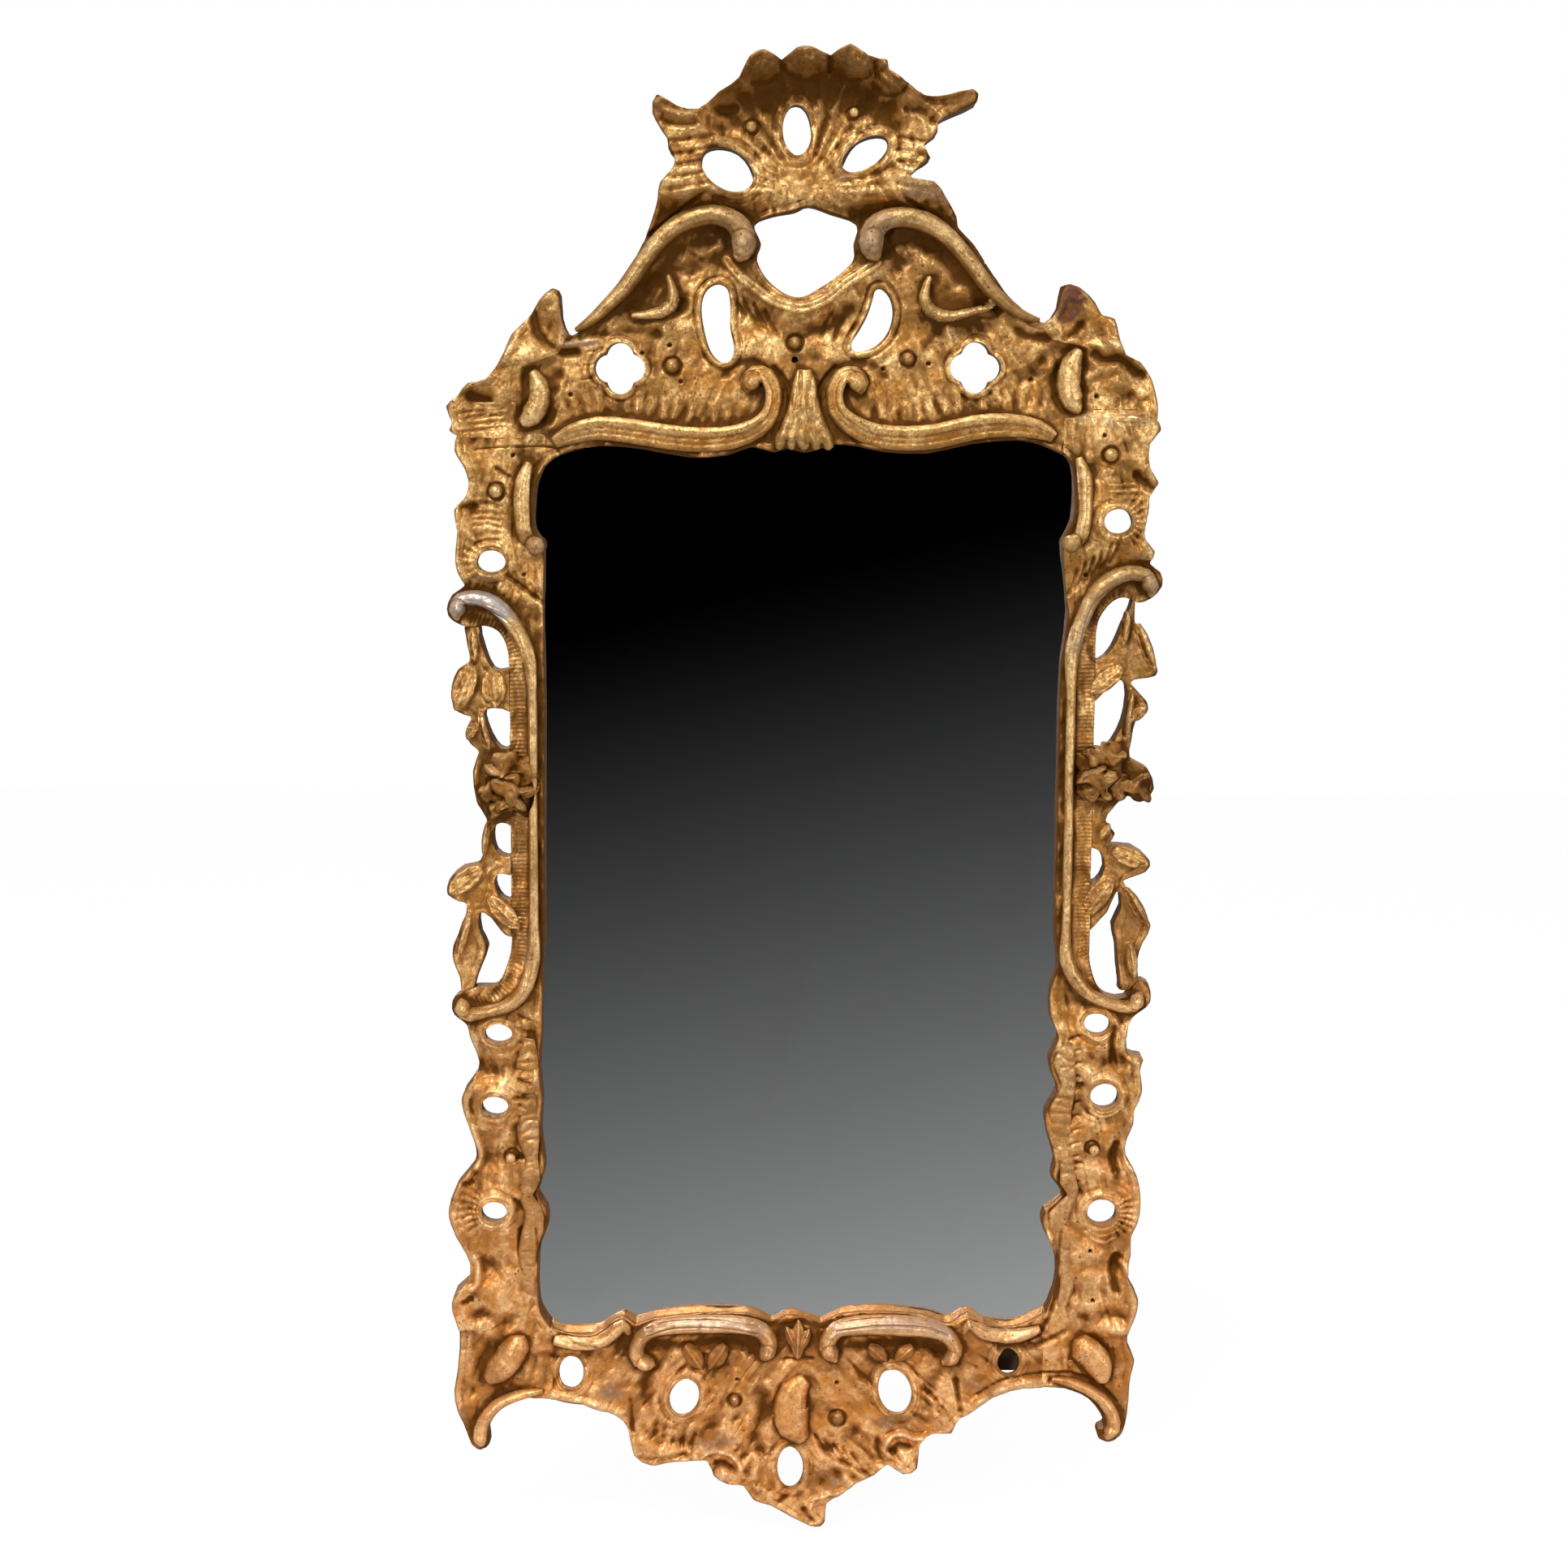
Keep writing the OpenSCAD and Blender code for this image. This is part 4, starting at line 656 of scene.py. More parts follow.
def leaf_with_dirt_and_shade(t, leaf, down, high, low, hollow, blots, fine):
    """Dirt and painted shade in the hollows, and dirt more thinly in the pores of the leaf; also gives its
    share.
    """
    deep = t.plus(hollow, t.times(t.minus(fine, 0.5), 0.4))
    deep = t.plus(deep, t.times(t.minus(blots, 0.5), 0.3))
    brown = t.mix(down, halfway(*high[1:]), halfway(*low[1:]))
    # Hollows go brown, then dark: dirt and painted shade
    leaf = t.mix(t.range(deep, 0.05, 0.45, 0.0, 0.8), leaf, brown)
    grime_and_shade = t.range(deep, 0.35, 0.95, 0.0, 0.95)
    leaf = t.mix(grime_and_shade, leaf, t.mix(down, high[2], low[2]))
    for size, share, where in ((430, 0.55, blots), (190, 0.8, t.noise(34, 4, 0.6))):
        specks = t.range(t.cells(size), 0.10, 0.24, share, 0.0)
        leaf = t.mix(t.times(specks, t.range(where, 0.47, 0.6)), leaf, (0.075, 0.032, 0.008))
    return leaf, grime_and_shade


def raw_wood(t):
    """Old pine of the backs and walls that were never gilded, and its fibres."""
    rings = t.noise(24, 6, 0.62, stretch=(1, 1, 0.09), warp=0.6)
    fibres = t.noise(210, 3, 0.6, stretch=(1, 1, 0.07))
    wood = t.mix(t.range(rings, 0.36, 0.64), (0.29, 0.175, 0.085), (0.135, 0.072, 0.032))
    wood = t.mix(t.range(fibres, 0.45, 0.7, 0.0, 0.5), wood, (0.07, 0.036, 0.016))
    stains = t.range(t.noise(12, 5, 0.6), 0.5, 0.72, 0.0, 0.6)
    return t.mix(stains, wood, (0.05, 0.032, 0.02)), fibres


def gilding(name, high, low, metallic):
    """Water gilding; high and low are its light, middle and dark tones at the mirror's top and foot; the dark
    tone serves for dirt and painted shade, the light tone also for painted highlights.
    """
    t = material_tree(name)
    hollow, crest, raw = t.layer("Relief")[:3]
    grey, bare, bole = t.layer("Wear")[:3]
    split = t.new("ShaderNodeSeparateXYZ")
    t.put(split.inputs[0], t.place)
    down = t.range(split.outputs["Z"], 0.16, -0.40)
    blots = t.noise(55, 5, 0.6, warp=0.4)
    fine = t.noise(320, 4, 0.6)
    leaf = gold_leaf(t, down, high, low, crest, blots, fine)
    leaf = worn_leaf(t, leaf, down, high, low, fine, grey, bare, bole)
    leaf, grime_and_shade = leaf_with_dirt_and_shade(t, leaf, down, high, low, hollow, blots, fine)
    wood, fibres = raw_wood(t)
    worn = t.most(raw, t.most(t.times(grime_and_shade, 0.7), t.most(bare, bole)))
    metal = t.times(t.math("SUBTRACT", 1.0, worn, clamp=True), metallic)
    roughness = t.plus(t.range(fine, 0.3, 0.7, 0.30, 0.46), t.times(worn, 0.34))
    roughness = t.minus(roughness, t.times(crest, 0.05))
    cracks = t.range(t.cells(150, "DISTANCE_TO_EDGE"), 0.0, 0.05)
    relief = t.plus(t.times(fine, 0.6), t.times(cracks, 0.12))
    relief = t.plus(relief, t.times(t.times(raw, fibres), 1.2))
    bump = t.bump(t.noise(1100, 2, 0.5), 0.25, 0.0004, t.bump(relief, 0.5, 0.0009))
    t.put(t.shader.inputs["Specular IOR Level"], t.range(worn, 0.0, 0.8, 0.45, 0.05))
    return t.done(Base_Color=t.mix(raw, leaf, wood), Metallic=metal, Roughness=roughness, Normal=bump)


def timber(name, pale, deep, scale, stretch):
    """Old softwood with its grain along the stretched axis."""
    t = material_tree(name)
    rings = t.noise(scale, 6, 0.62, stretch=stretch, warp=0.6)
    fibres = t.noise(scale * 9, 3, 0.6, stretch=stretch)
    colour = t.mix(t.range(rings, 0.35, 0.65), pale, deep)
    colour = t.mix(t.range(fibres, 0.45, 0.7, 0.0, 0.55), colour, scaled(deep, 0.45))
    colour = t.mix(t.range(t.noise(14, 5, 0.6), 0.5, 0.75, 0.0, 0.6), colour, (0.045, 0.028, 0.018))
    bump = t.bump(fibres, 0.5, 0.0006, t.bump(rings, 0.4, 0.0009))
    return t.done(Base_Color=colour, Roughness=t.range(fibres, 0.3, 0.7, 0.75, 0.92), Normal=bump)


def iron(name, clean, rust_from):
    """Hand-forged iron, brown with rust where its noise is above rust_from."""
    t = material_tree(name)
    blots = t.noise(160, 6, 0.65, warp=0.5)
    pits = t.noise(1500, 3, 0.6)
    rust = t.range(blots, rust_from, rust_from + 0.16)
    colour = t.mix(rust, clean, t.mix(pits, (0.07, 0.03, 0.015), (0.20, 0.085, 0.035)))
    metal = t.times(t.minus(1.0, rust), 0.9)
    bump = t.bump(pits, 0.5, 0.0003, t.bump(blots, 0.3, 0.0006))
    roughness = t.range(pits, 0.3, 0.7, 0.38, 0.7)
    return t.done(Base_Color=colour, Metallic=metal, Roughness=roughness, Normal=bump)


def old_mirror():
    """Silvered glass with faint clouds and spots and a soft waviness."""
    t = material_tree("old_mirror_plate")
    spots = t.range(t.noise(420, 6, 0.7), 0.70, 0.80)
    clouds = t.range(t.noise(9, 5, 0.6, warp=1.0), 0.45, 0.75)
    colour = t.mix(t.times(clouds, 0.25), (0.86, 0.88, 0.87), (0.72, 0.73, 0.70))
    colour = t.mix(t.times(spots, 0.35), colour, (0.35, 0.32, 0.27))
    roughness = t.plus(t.times(clouds, 0.02), t.times(spots, 0.25))
    bump = t.bump(t.noise(7, 1, 0.4), 0.06, 0.002)
    return t.done(Base_Color=colour, Metallic=1.0, Roughness=roughness, Normal=bump)


MATERIALS = {
    "gilding": gilding(
        "old_gilding", ((0.97, 0.62, 0.24), (0.46, 0.195, 0.026), (0.085, 0.029, 0.002)),
        ((1.0, 0.60, 0.27), (0.64, 0.235, 0.032), (0.125, 0.039, 0.003)), 0.45),
    "burnished_gilding": gilding(
        "burnished_gilding", ((0.97, 0.66, 0.29), (0.50, 0.245, 0.050), (0.088, 0.031, 0.003)),
        ((1.0, 0.60, 0.29), (0.60, 0.25, 0.055), (0.13, 0.043, 0.005)), 0.48),
    "coppery_gilding": gilding(
        "coppery_gilding", ((0.92, 0.55, 0.20), (0.44, 0.19, 0.027), (0.088, 0.031, 0.003)),
        ((1.0, 0.56, 0.23), (0.62, 0.225, 0.030), (0.125, 0.039, 0.004)), 0.45),
}

SLOT_OF = {s["node"]: s["material_slot"] for s in frame["record"]["subparts"]}

# Boards of the frame

ON_GROUND = (GROUND + 0.3, GROUND + 4)
BOARD_VOXEL, APPLIED_VOXEL = 0.9, 0.7
BOARD_NODES = ("left_stile", "right_stile", "crest_rail", "crest_cartouche", "apron_rail")
boards = [Carved(node, BOARD_VOXEL) for node in BOARD_NODES]
left, right, crest, shell, apron = boards
leaves = [Carved(side + "_foliage", BOARD_VOXEL, 3, (GROUND - 4, GROUND)) for side in ("left", "right")]
left_leaves, right_leaves = leaves
GROUND_NODES = [c.node for c in boards + leaves]
APPLIED = [n for n, slot in SLOT_OF.items() if slot in MATERIALS and n not in GROUND_NODES]
# Copies of a rose's ball that stand for more petals: dx, dz, scale and turn of each
PETALS = {
    "left_rose": [(-7, 17, 0.8, 30), (8, 15, 0.62, 50), (-17, 2, 0.62, 15), (-9, -14, 0.55, 60)],
    "right_rose": [(-6, 14, 0.72, 30), (9, 17, 0.66, 50), (30, -5, 0.62, 15), (14, -6, 0.7, 60)],
}
applied = {n: Carved(n, APPLIED_VOXEL, 6, ON_GROUND, PETALS.get(n, ())) for n in APPLIED}

board_front = front_map(boards)
on_board = (board_front > GROUND - 4).astype(float)
SLIGHTLY, DEEPLY = 3.0, 7.0  # widths by which the front is blurred to melt its steps
melted = {width: blur(board_front * on_board, width) / blur(on_board, width).clip(0.02)
          for width in (SLIGHTLY, DEEPLY)}
all_boards = blur(cover(boards), 1.5)
for c in boards:
    # Close the seams between boards, where the edges of both were softened
    own = blur(cover([c]), 1.5)
    seam = ramp(sample(all_boards, c), 0.93, 0.99) * fade(sample(own, c), 0.85, 0.98)
    out_x, out_z = (-sample(g, c) for g in np.gradient(own))
    out = np.hypot(out_x, out_z).clip(1e-3)
    c.x += 1.6 * seam * out_x / out
    c.z += 1.6 * seam * out_z / out
    c.d += np.maximum(sample(melted[SLIGHTLY], c) - c.d, 0) * seam * ramp(c.d, GROUND - 9, GROUND - 6)
    c.soften(melted[SLIGHTLY], 0.75)
    # The shell's bowl and the channels of the stiles are one smooth hollow
    smooth = span(c.z, 480, 492, 585, 592) if c is shell else span(np.abs(c.x), 203, 207, 214, 246)
    c.soften(melted[DEEPLY], 0.95 * smooth)
    # The ground over the top mouldings is calmer
    calm = 1 - 0.45 * span(c.z, 325, 340, 365, 385) * fade(np.abs(c.x), 165, 185)
    c.rough(36, 3.4, 1).rough(16, 2.2, 2, calm).rough(7, 1.0, 3, calm).rough(3, 0.4, 4)
for c in leaves:
    c.rough(20, 1.4, 1).rough(9, 0.8, 2).rough(4, 0.35, 3)
for c in applied.values():
    c.rough(14, 0.8, 4).rough(5, 0.4, 5).rough(2.5, 0.18, 6)


def on(pieces, kind, *values, **named):
    """Make the same stroke on several pieces, so that it runs on over their joints."""
    for c in pieces:
        getattr(c, kind)(*values, **named)


def stripes(pieces, first, last, count, run, width, height):
    """Short strokes side by side: from first to last by count, each as long as run."""
    for k in range(count):
        t = k / (count - 1)
        x, z = (first[a] + (last[a] - first[a]) * t for a in (0, 1))
        bend = (x + run[0] * 0.5 + run[1] * 0.08, z + run[1] * 0.5 - run[0] * 0.08)
        on(pieces, "stroke", [(x, z), bend, (x + run[0], z + run[1])], width, height, ends=width)


# Openings that are pierced through: x, z, half widths and tilt
HOLES = {
    left: [(-228, 240, 10.5, 8, 0), (-225.6, -113, 10.3, 7, 0), (-228.6, -168, 10, 8, 0),
           (-230, -250.5, 9.7, 8, 0)],
    right: [(229.5, 272, 10.5, 9, 0), (222.5, -103, 9.6, 8, 0), (229, -158, 10.5, 10, 0),
            (229, -248, 11, 10, 0)],
    shell: [(-6.5, 549.5, 10.3, 18, 0), (-56, 521, 20, 14, -30), (42, 532.5, 18.5, 10, 33)],
    apron: [(-86.5, -398, 11, 15, -15), (74.7, -392.5, 12.5, 18, 12), (-5, -454, 10, 16.5, 0),
            (-173, -379, 9.5, 12.5, 0), (161, -368, 8.5, 10, 0)],
}
BEADS = {
    crest: [(-7, 399, 4.5), (-96, 382, 5), (75, 388, 4.5)],
    shell: [(-39, 551, 4), (34, 561, 3.5)],
    left: [(-224, 291, 5), (-217, -208, 4)],
    right: [(223, 320, 5), (221, -199, 4)],
    apron: [(-48, -401, 4), (31, -415, 5)],
}
WORM_HOLES = [(-90, 371), (-170, 361), (-98, 397), (165, 374), (212, 362), (218, 334), (90, 385), (57, 381),
              (-212, 317), (221, -279), (-205, 230), (208, 232), (-118, 391), (30, -386), (-46, -384),
              (-110, 505), (224, -318), (46, 402)]
CABOCHONS = {
    crest: ([(-195, 371), (-190, 358), (-193, 345), (-203, 339)],
            [(198, 390), (192, 380), (190, 368), (195, 357), (203, 355)]),
    left: ([(-215, -349), (-216, -362), (-225, -375), (-230, -380)],),
    right: ([(218, -344), (226, -354), (231, -368)],),
    apron: ([(4, -387), (-6, -396), (-8, -408), (-4, -420), (0, -427)],),
}


def carve_openings():
    """Raised rims round the holes, grooves round beads and cabochons, worm holes; painted shade and dirt
    darken the holes' edges, the grooves and the worm holes.
    """
    for c, holes in HOLES.items():
        for x, z, a, b, tilt in holes:
            out = c.outside(x, z, a, b, tilt)
            c.soften(melted[DEEPLY], 0.8 * fade(out, 6, 11))
            c.rim(x, z, a + 1.5, b + 1.5, 5, 0.9, tilt).rim(x, z, a + 6, b + 6, 4, -0.8, tilt)
            # Painted shade round the edge of each opening
            c.add_dirt_and_shade(fade(out, 0.5, 4.5) * (0.8 + 0.4 * c.noise(8, 24)))
            c.bevel(x, z, a, b, tilt)
    for c, beads in BEADS.items():
        for x, z, r in beads:
            c.rim(x, z, r - 1, r - 1, 4, -2.2)
            c.tint("dirt", x, z, r + 1.5, amount=0.8)
    for x, z in WORM_HOLES:
        on(boards, "dome", x, z, 1.9, 1.9, -4)
        on(boards, "tint", "dirt", x, z, 1.7, amount=1)
    for c, paths in CABOCHONS.items():
        for rows in paths:
            c.sink(rows, 27, 4.5, 0.9)


# Hollows of each board: path, width, depth, and amount of dirt with painted shade
HOLLOWS = {
    (crest, shell): [
        ([(62, 474), (82, 472), (98, 462), (112, 447), (128, 432), (142, 420)], 21, 5.5, 1.0),
        ([(-62, 472), (-82, 470), (-96, 460), (-108, 445), (-120, 431), (-132, 420)], 20, 5, 0.95),
        ([(123, 433), (130, 425), (146, 425)], 17, 6, 1.1),
        ([(-86, 433), (-91, 424), (-104, 420)], 17, 6, 1.1),
        ([(-150, 404), (-125, 406), (-100, 404)], 12, 3, 0.6),
        ([(150, 412), (165, 404), (182, 406)], 13, 3.5, 0.85),
        ([(-197, 424), (-193, 404), (-178, 393), (-160, 391)], 12, 5, 0.9),
        ([(-249, 362), (-236, 358), (-224, 352)], 14, 5, 0.85),
        ([(206, 398), (216, 389), (229, 389), (240, 380), (251, 378)], 14, 7, 1.15),
        ([(202, 418), (196, 408), (184, 402)], 10, 4, 0.7),
        ([(-24, 384), (-12, 368), (-11, 348), (-18, 334)], 6, 3, 0.8),
        ([(24, 384), (12, 368), (11, 348), (18, 334)], 6, 3, 0.8),
    ],
    (shell,): [
        ([(-76, 570), (-62, 562), (-46, 566)], 11, 4, 1.0),
        ([(-108, 555), (-90, 551), (-74, 553)], 9, 3.5, 1.0), ([(47, 597), (51, 585), (60, 575)], 5, 3, 0.9),
        ([(-18, 600), (-17, 588)], 5, 3, 0.9), ([(17, 602), (17, 588)], 5, 3, 0.9),
        ([(66, 564), (82, 560), (94, 550)], 11, 4, 1.1),
    ],
    (left,): [
        ([(-226, 309), (-212, 300)], 6, 3, 0.9), ([(-254, 279), (-236, 280)], 10, 4, 0.9),
        ([(-217, -163), (-199, -163)], 7, 3, 0.8), ([(-217, -211), (-199, -211)], 7, 3, 0.7),
        ([(-217, -240), (-206, -250), (-198, -241)], 7, 3, 0.8),
        ([(-210, -262), (-210, -280), (-208, -300)], 10, 4, 0.8),
        ([(-256, -228), (-250, -230), (-244, -227)], 9, 4.5, 0.95),
        ([(-258, -322), (-252, -322), (-246, -317)], 9, 4.5, 0.95),
    ],
    (right, apron): [
        ([(239, 310), (249, 300), (259, 293)], 12, 5.5, 1.0),
        ([(236, -102), (234, -120), (237, -138)], 9, 4.5, 0.9),
        ([(241, -192), (237, -207), (241, -222)], 10, 4.5, 0.95),
        ([(244, -278), (239, -297), (244, -316)], 12, 5.5, 1.0), ([(203, -152), (216, -150)], 7, 3, 0.8),
        ([(203, -211), (216, -211)], 7, 3, 0.8), ([(206, -238), (216, -232)], 7, 3, 0.8),
        ([(150, -358), (170, -357), (190, -352), (206, -342)], 9, 3, 0.6),
        ([(136, -396), (155, -384), (178, -379), (206, -377), (228, -385), (246, -402)], 5, 2.4, 0.6),
    ],
    (apron,): [
        ([(-119, -357), (-100, -357), (-70, -356), (-42, -357), (-30, -367)], 15, 4.5, 1.0),
        ([(34, -358), (50, -356), (75, -355), (100, -357), (113, -366)], 14, 4.5, 1.0),
        ([(-66, -452), (-57, -451), (-48, -458)], 9, 5, 1.0),
        ([(73, -446), (77, -437), (90, -438)], 10, 5.5, 1.0),
        ([(62, -428), (62, -440), (67, -450)], 8, 3, 0.9), ([(4, -484), (9, -494), (15, -500)], 9, 4, 0.9),
        ([(121, -380), (123, -396), (126, -412)], 8, 3.5, 1.0),
        ([(-128, -398), (-127, -412), (-126, -430)], 7, 3, 0.9), ([(-12, -367), (14, -367)], 5, 2, 0.8),
        ([(-125, -446), (-105, -449), (-82, -444)], 9, 2.5, 0.7),
    ],
}
# Ridges of each board: path, width and height
RIDGES = {
    (crest,): [
        ([(-182, 393), (-163, 399), (-145, 401)], 9, 2.8), ([(-206, 405), (-213, 392), (-219, 380)], 9, 2.6),
        ([(-226, 376), (-240, 369), (-254, 362)], 8, 2.5), ([(213, 404), (228, 397), (242, 389)], 12, 3.6),
        ([(220, 374), (236, 369), (252, 361)], 15, 3.2), ([(183, 420), (190, 433), (201, 429)], 8, 2.2),
    ],
    (shell,): [
        ([(-68, 572), (-56, 581), (-47, 592)], 13, 4.0),
        ([(-109, 567), (-100, 561), (-86, 557), (-75, 560)], 8, 3.2),
        ([(53, 599), (60, 589), (69, 581)], 10, 3.2), ([(78, 576), (95, 572), (112, 575)], 9, 2.8),
        ([(84, 567), (92, 561), (97, 555)], 5, 1.8),
    ],
    (left, apron): [
        ([(-247, -182), (-242, -196), (-240, -210), (-246, -222)], 9, 5.0),
        ([(-246, -284), (-243, -296), (-244, -308), (-252, -314)], 9, 5.0),
        ([(-245, -112), (-241, -130), (-246, -150)], 6, 2.2),
        ([(-254, 232), (-252, 250), (-253, 268)], 6, 2.0),
        ([(-131, -413), (-150, -405), (-170, -400), (-192, -395)], 9, 3.2),
    ],
    (right, apron): [
        ([(244, -107), (242, -118), (245, -129), (254, -133)], 7, 3.6),
        ([(246, -199), (253, -209), (252, -220)], 9, 4.0), ([(241, -285), (248, -292), (251, -301)], 9, 4.0),
        ([(214, -110), (223, -115), (233, -110)], 4, 1.6), ([(217, -170), (229, -175), (241, -170)], 4, 1.6),
        ([(218, -262), (230, -267), (243, -262)], 3.5, 1.5),
        ([(220, -268), (231, -273), (242, -268)], 3.5, 1.5),
        ([(134, -405), (152, -392), (171, -386), (193, -383)], 9, 3.2),
    ],
    (apron,): [
        ([(-76, -448), (-67, -441), (-56, -441), (-46, -448), (-42, -459)], 8, 5),
        ([(66, -444), (70, -432), (80, -427), (90, -430), (100, -430)], 8, 5),
        ([(10, -490), (13, -480), (24, -476), (39, -472)], 6, 3.6),
        ([(-36, -468), (-26, -474), (-18, -482)], 9, 2.4), ([(-30, -440), (-33, -456), (-30, -468)], 10, 2.4),
        ([(-110, -398), (-106, -415), (-94, -422)], 9, 1.8),
        ([(96, -392), (104, -402), (106, -416)], 8, 1.8),
    ],
}


def carve_paths():
    """Hollows darkened with dirt and painted shade, and raised ridges."""
    for pieces, rows in HOLLOWS.items():
        for path, width, depth, dark in rows:
            on(pieces, "sink", path, width, depth, dark)
    for pieces, rows in RIDGES.items():
        for path, width, height in rows:
            on(pieces, "swell", path, width, height)


CREST_CURLS = [[(-78, 436), (-74, 424), (-80, 412), (-91, 409), (-106, 409)],
               [(113, 436), (115, 423), (122, 412), (138, 410), (153, 416)]]
LEFT_KIDNEY = [(-63, 441), (-56, 437), (-54, 424), (-54, 409), (-51, 395), (-54, 386), (-61, 385), (-69, 394),
               (-74, 412), (-75, 427), (-71, 437)]
RIGHT_KIDNEY = [(56, 438), (62, 431), (64, 420), (61, 408), (54, 399), (45, 394), (36, 393), (34, 399),
                (39, 407), (45, 418), (49, 430), (51, 437)]


def carve_crest():
    """Crest rail: heart's rim, kidneys, four-lobed openings, ears and the flutes over the sight edge."""
    both = (crest, shell)
    rim = [(-57, 458), (-46, 446), (-35, 437), (-20, 428), (-2, 424), (15, 430), (30, 442), (42, 450),
           (52, 457)]
    on(both, "stroke", rim, 9, 2.6, "flat")
    on(both, "stroke", rim, 2.6, -1.2)
    on(both, "sink", beside(rim, -15), 26, 3.2, 0.55)
    for kidney in (LEFT_KIDNEY, RIGHT_KIDNEY):
        crest.stroke(around(kidney, 2.5), 4, 0.8, closed=True)
        crest.stroke(around(kidney, 5.5), 2.6, -1.3, closed=True)
    for x, z in ((-134, 380), (124, 382)):
        for dx, dz in ((0, 19), (17, 0), (0, -18), (-17, 0)):
            crest.rim(x + dx * 0.55, z + dz * 0.55, 12, 12, 3, -0.8)
    for rows in ([(-46, 346), (-75, 345), (-100, 350), (-125, 356), (-150, 358), (-176, 352)],
                 [(46, 350), (75, 349), (100, 354), (125, 360), (150, 362), (176, 356)]):
        crest.stroke(rows, 30, -1.2)
        crest.ribs(rows, 28, 9.5, 1.9, shape="ridge", wander=1.5)
    crest.ribs([(-234, 333), (-236, 352)], 42, 4.6, 1.5).ribs([(234, 334), (234, 352)], 34, 5.2, 1.3)
    stripes(both, (-54, 440), (-30, 426), 4, (14, -24), 5, -1.8)
    stripes(both, (22, 424), (48, 412), 4, (-10, -22), 5, -1.8)
    stripes([crest], (-165, 372), (-160, 392), 3, (16, 4), 4, -1.4)
    bowl = [(-30, 418), (-14, 408), (0, 406), (16, 409), (32, 420)]
    # Painted shade in the bowl under the heart
    crest.stroke(bowl, 30, -4).tint_path("dirt", bowl, 30, 0.75)
    for c in both:
        left_side = ramp(-c.x, 0, 25)
        c.streak(62, 34, 7, 0.6, 31, left_side).streak(-62, 36, 7, 0.65, 33, 1 - left_side)
        c.gouge(25, 40, 4, 0.7, 31)
        c.streak(68, 13, 3, 0.5, 36, left_side).streak(-60, 13, 3, 0.5, 38, 1 - left_side)
        ear = ramp(np.abs(c.x), 165, 205)
        c.streak(24, 20, 6, 0.75, 39, ear * left_side).streak(-24, 20, 6, 0.75, 40, ear * (1 - left_side))
    # Painted shade under the scroll arms of the crest
    for rows in ([(66, 460), (88, 450), (108, 430), (130, 412)],
                 [(-66, 458), (-88, 448), (-106, 430), (-126, 412)]):
        on(both, "stroke", rows, 40, -3)
        on(both, "tint_path", "dirt", rows, 46, 0.95)
    for rows in ([(84, 392), (96, 408), (100, 424)], [(-104, 372), (-112, 392), (-104, 412)],
                 [(150, 372), (168, 380), (176, 398)], [(-172, 380), (-182, 372), (-180, 358)]):
        crest.sink(rows, 16, 3.5, 0.6)
    crest.streak(90, 16, 5, 0.5, 35, fade(crest.z, 362, 376))
    for rows in ([(-62, 372), (-48, 384), (-30, 385)], [(62, 372), (48, 384), (30, 385)]):
        crest.sink(rows, 13, 3.5, 0.9)
    on((left, crest), "sink", [(-240, 321), (-215, 323), (-181, 322), (-178, 308)], 2.6, 1.8, 1.1)
    crest.tint("bare", -172, 418, 9, 16, 0.9)
    crest.tint("grey", -164, 398, 16, 5, 0.45).tint("bole", 190, 430, 13, 20, 1.1)
    crest.tint("bare", -120, 404, 14, 5, 0.5).tint("bare", 240, 350, 10, 6, 0.5)


def carve_shell():
    """Shell: its curled lobes, the hollow under them darkened with painted shadow, flutes and side tabs."""
    shell.stroke([(-56, 560), (-28, 575), (0, 580), (28, 576), (56, 563)], 42, -10)
    shell.stroke([(-60, 540), (-20, 556), (10, 557), (60, 545)], 60, -3)
    # Painted shadow under the curled lobes fills the upper shell, with a ragged lower edge
    angle = np.degrees(np.arctan2(shell.z - 506, shell.x))
    radial = noise(angle * 0.9, np.hypot(shell.x, shell.z - 506) * 0.12, 0 * shell.d, 7, 51)
    high = ramp(shell.z + 5 * radial, 536, 578)
    shell.add_dirt_and_shade(np.clip(high * 1.35 + 0.35 * ramp(radial, 0, 0.7), 0, 1.5))
    shell.fan(0, 506, 20, 95, 90, 190, 19, 1.9)
    for x, z, a in ((-34, 595, 17), (0, 598, 17), (33, 597, 16), (60, 582, 10)):
        shell.dome(x, z, a, 0.8 * a, 8, power=0.8)
        shell.rim(x, z, a, 0.8 * a, 4, -1.2)
        shell.fan(x, z - 14, 6, 24, 90, 100, 5, 1.0)
    for z in (541, 532, 524, 516, 508):
        shell.stroke([(-106, z - 2), (-86, z), (-62, z + 5)], 5.5, -2.4, ends=5)
        shell.stroke([(98, z - 2), (80, z), (62, z + 4)], 5.5, -2.2, ends=5)
    shell.gouge(70, 30, 3.5, 0.8, 32).streak(95, 15, 3, 0.6, 52)
    for turn, side in ((-28, 1), (208, -1)):
        stripes([shell], (side * 66, 508), (side * 100, 482), 6, (side * 20, -14), 5, -2.6)
    shell.streak(-30, 22, 5, 0.9, 53, ramp(np.abs(shell.x), 55, 66) * fade(shell.z, 504, 512))
    for x, z, a, b in ((-66, 501, 26, 7), (25, 517, 11, 5), (86, 501, 26, 13), (-54, 582, 12, 12),
                       (98, 574, 17, 6)):
        shell.tint("bare", x, z, a, b, 0.75)


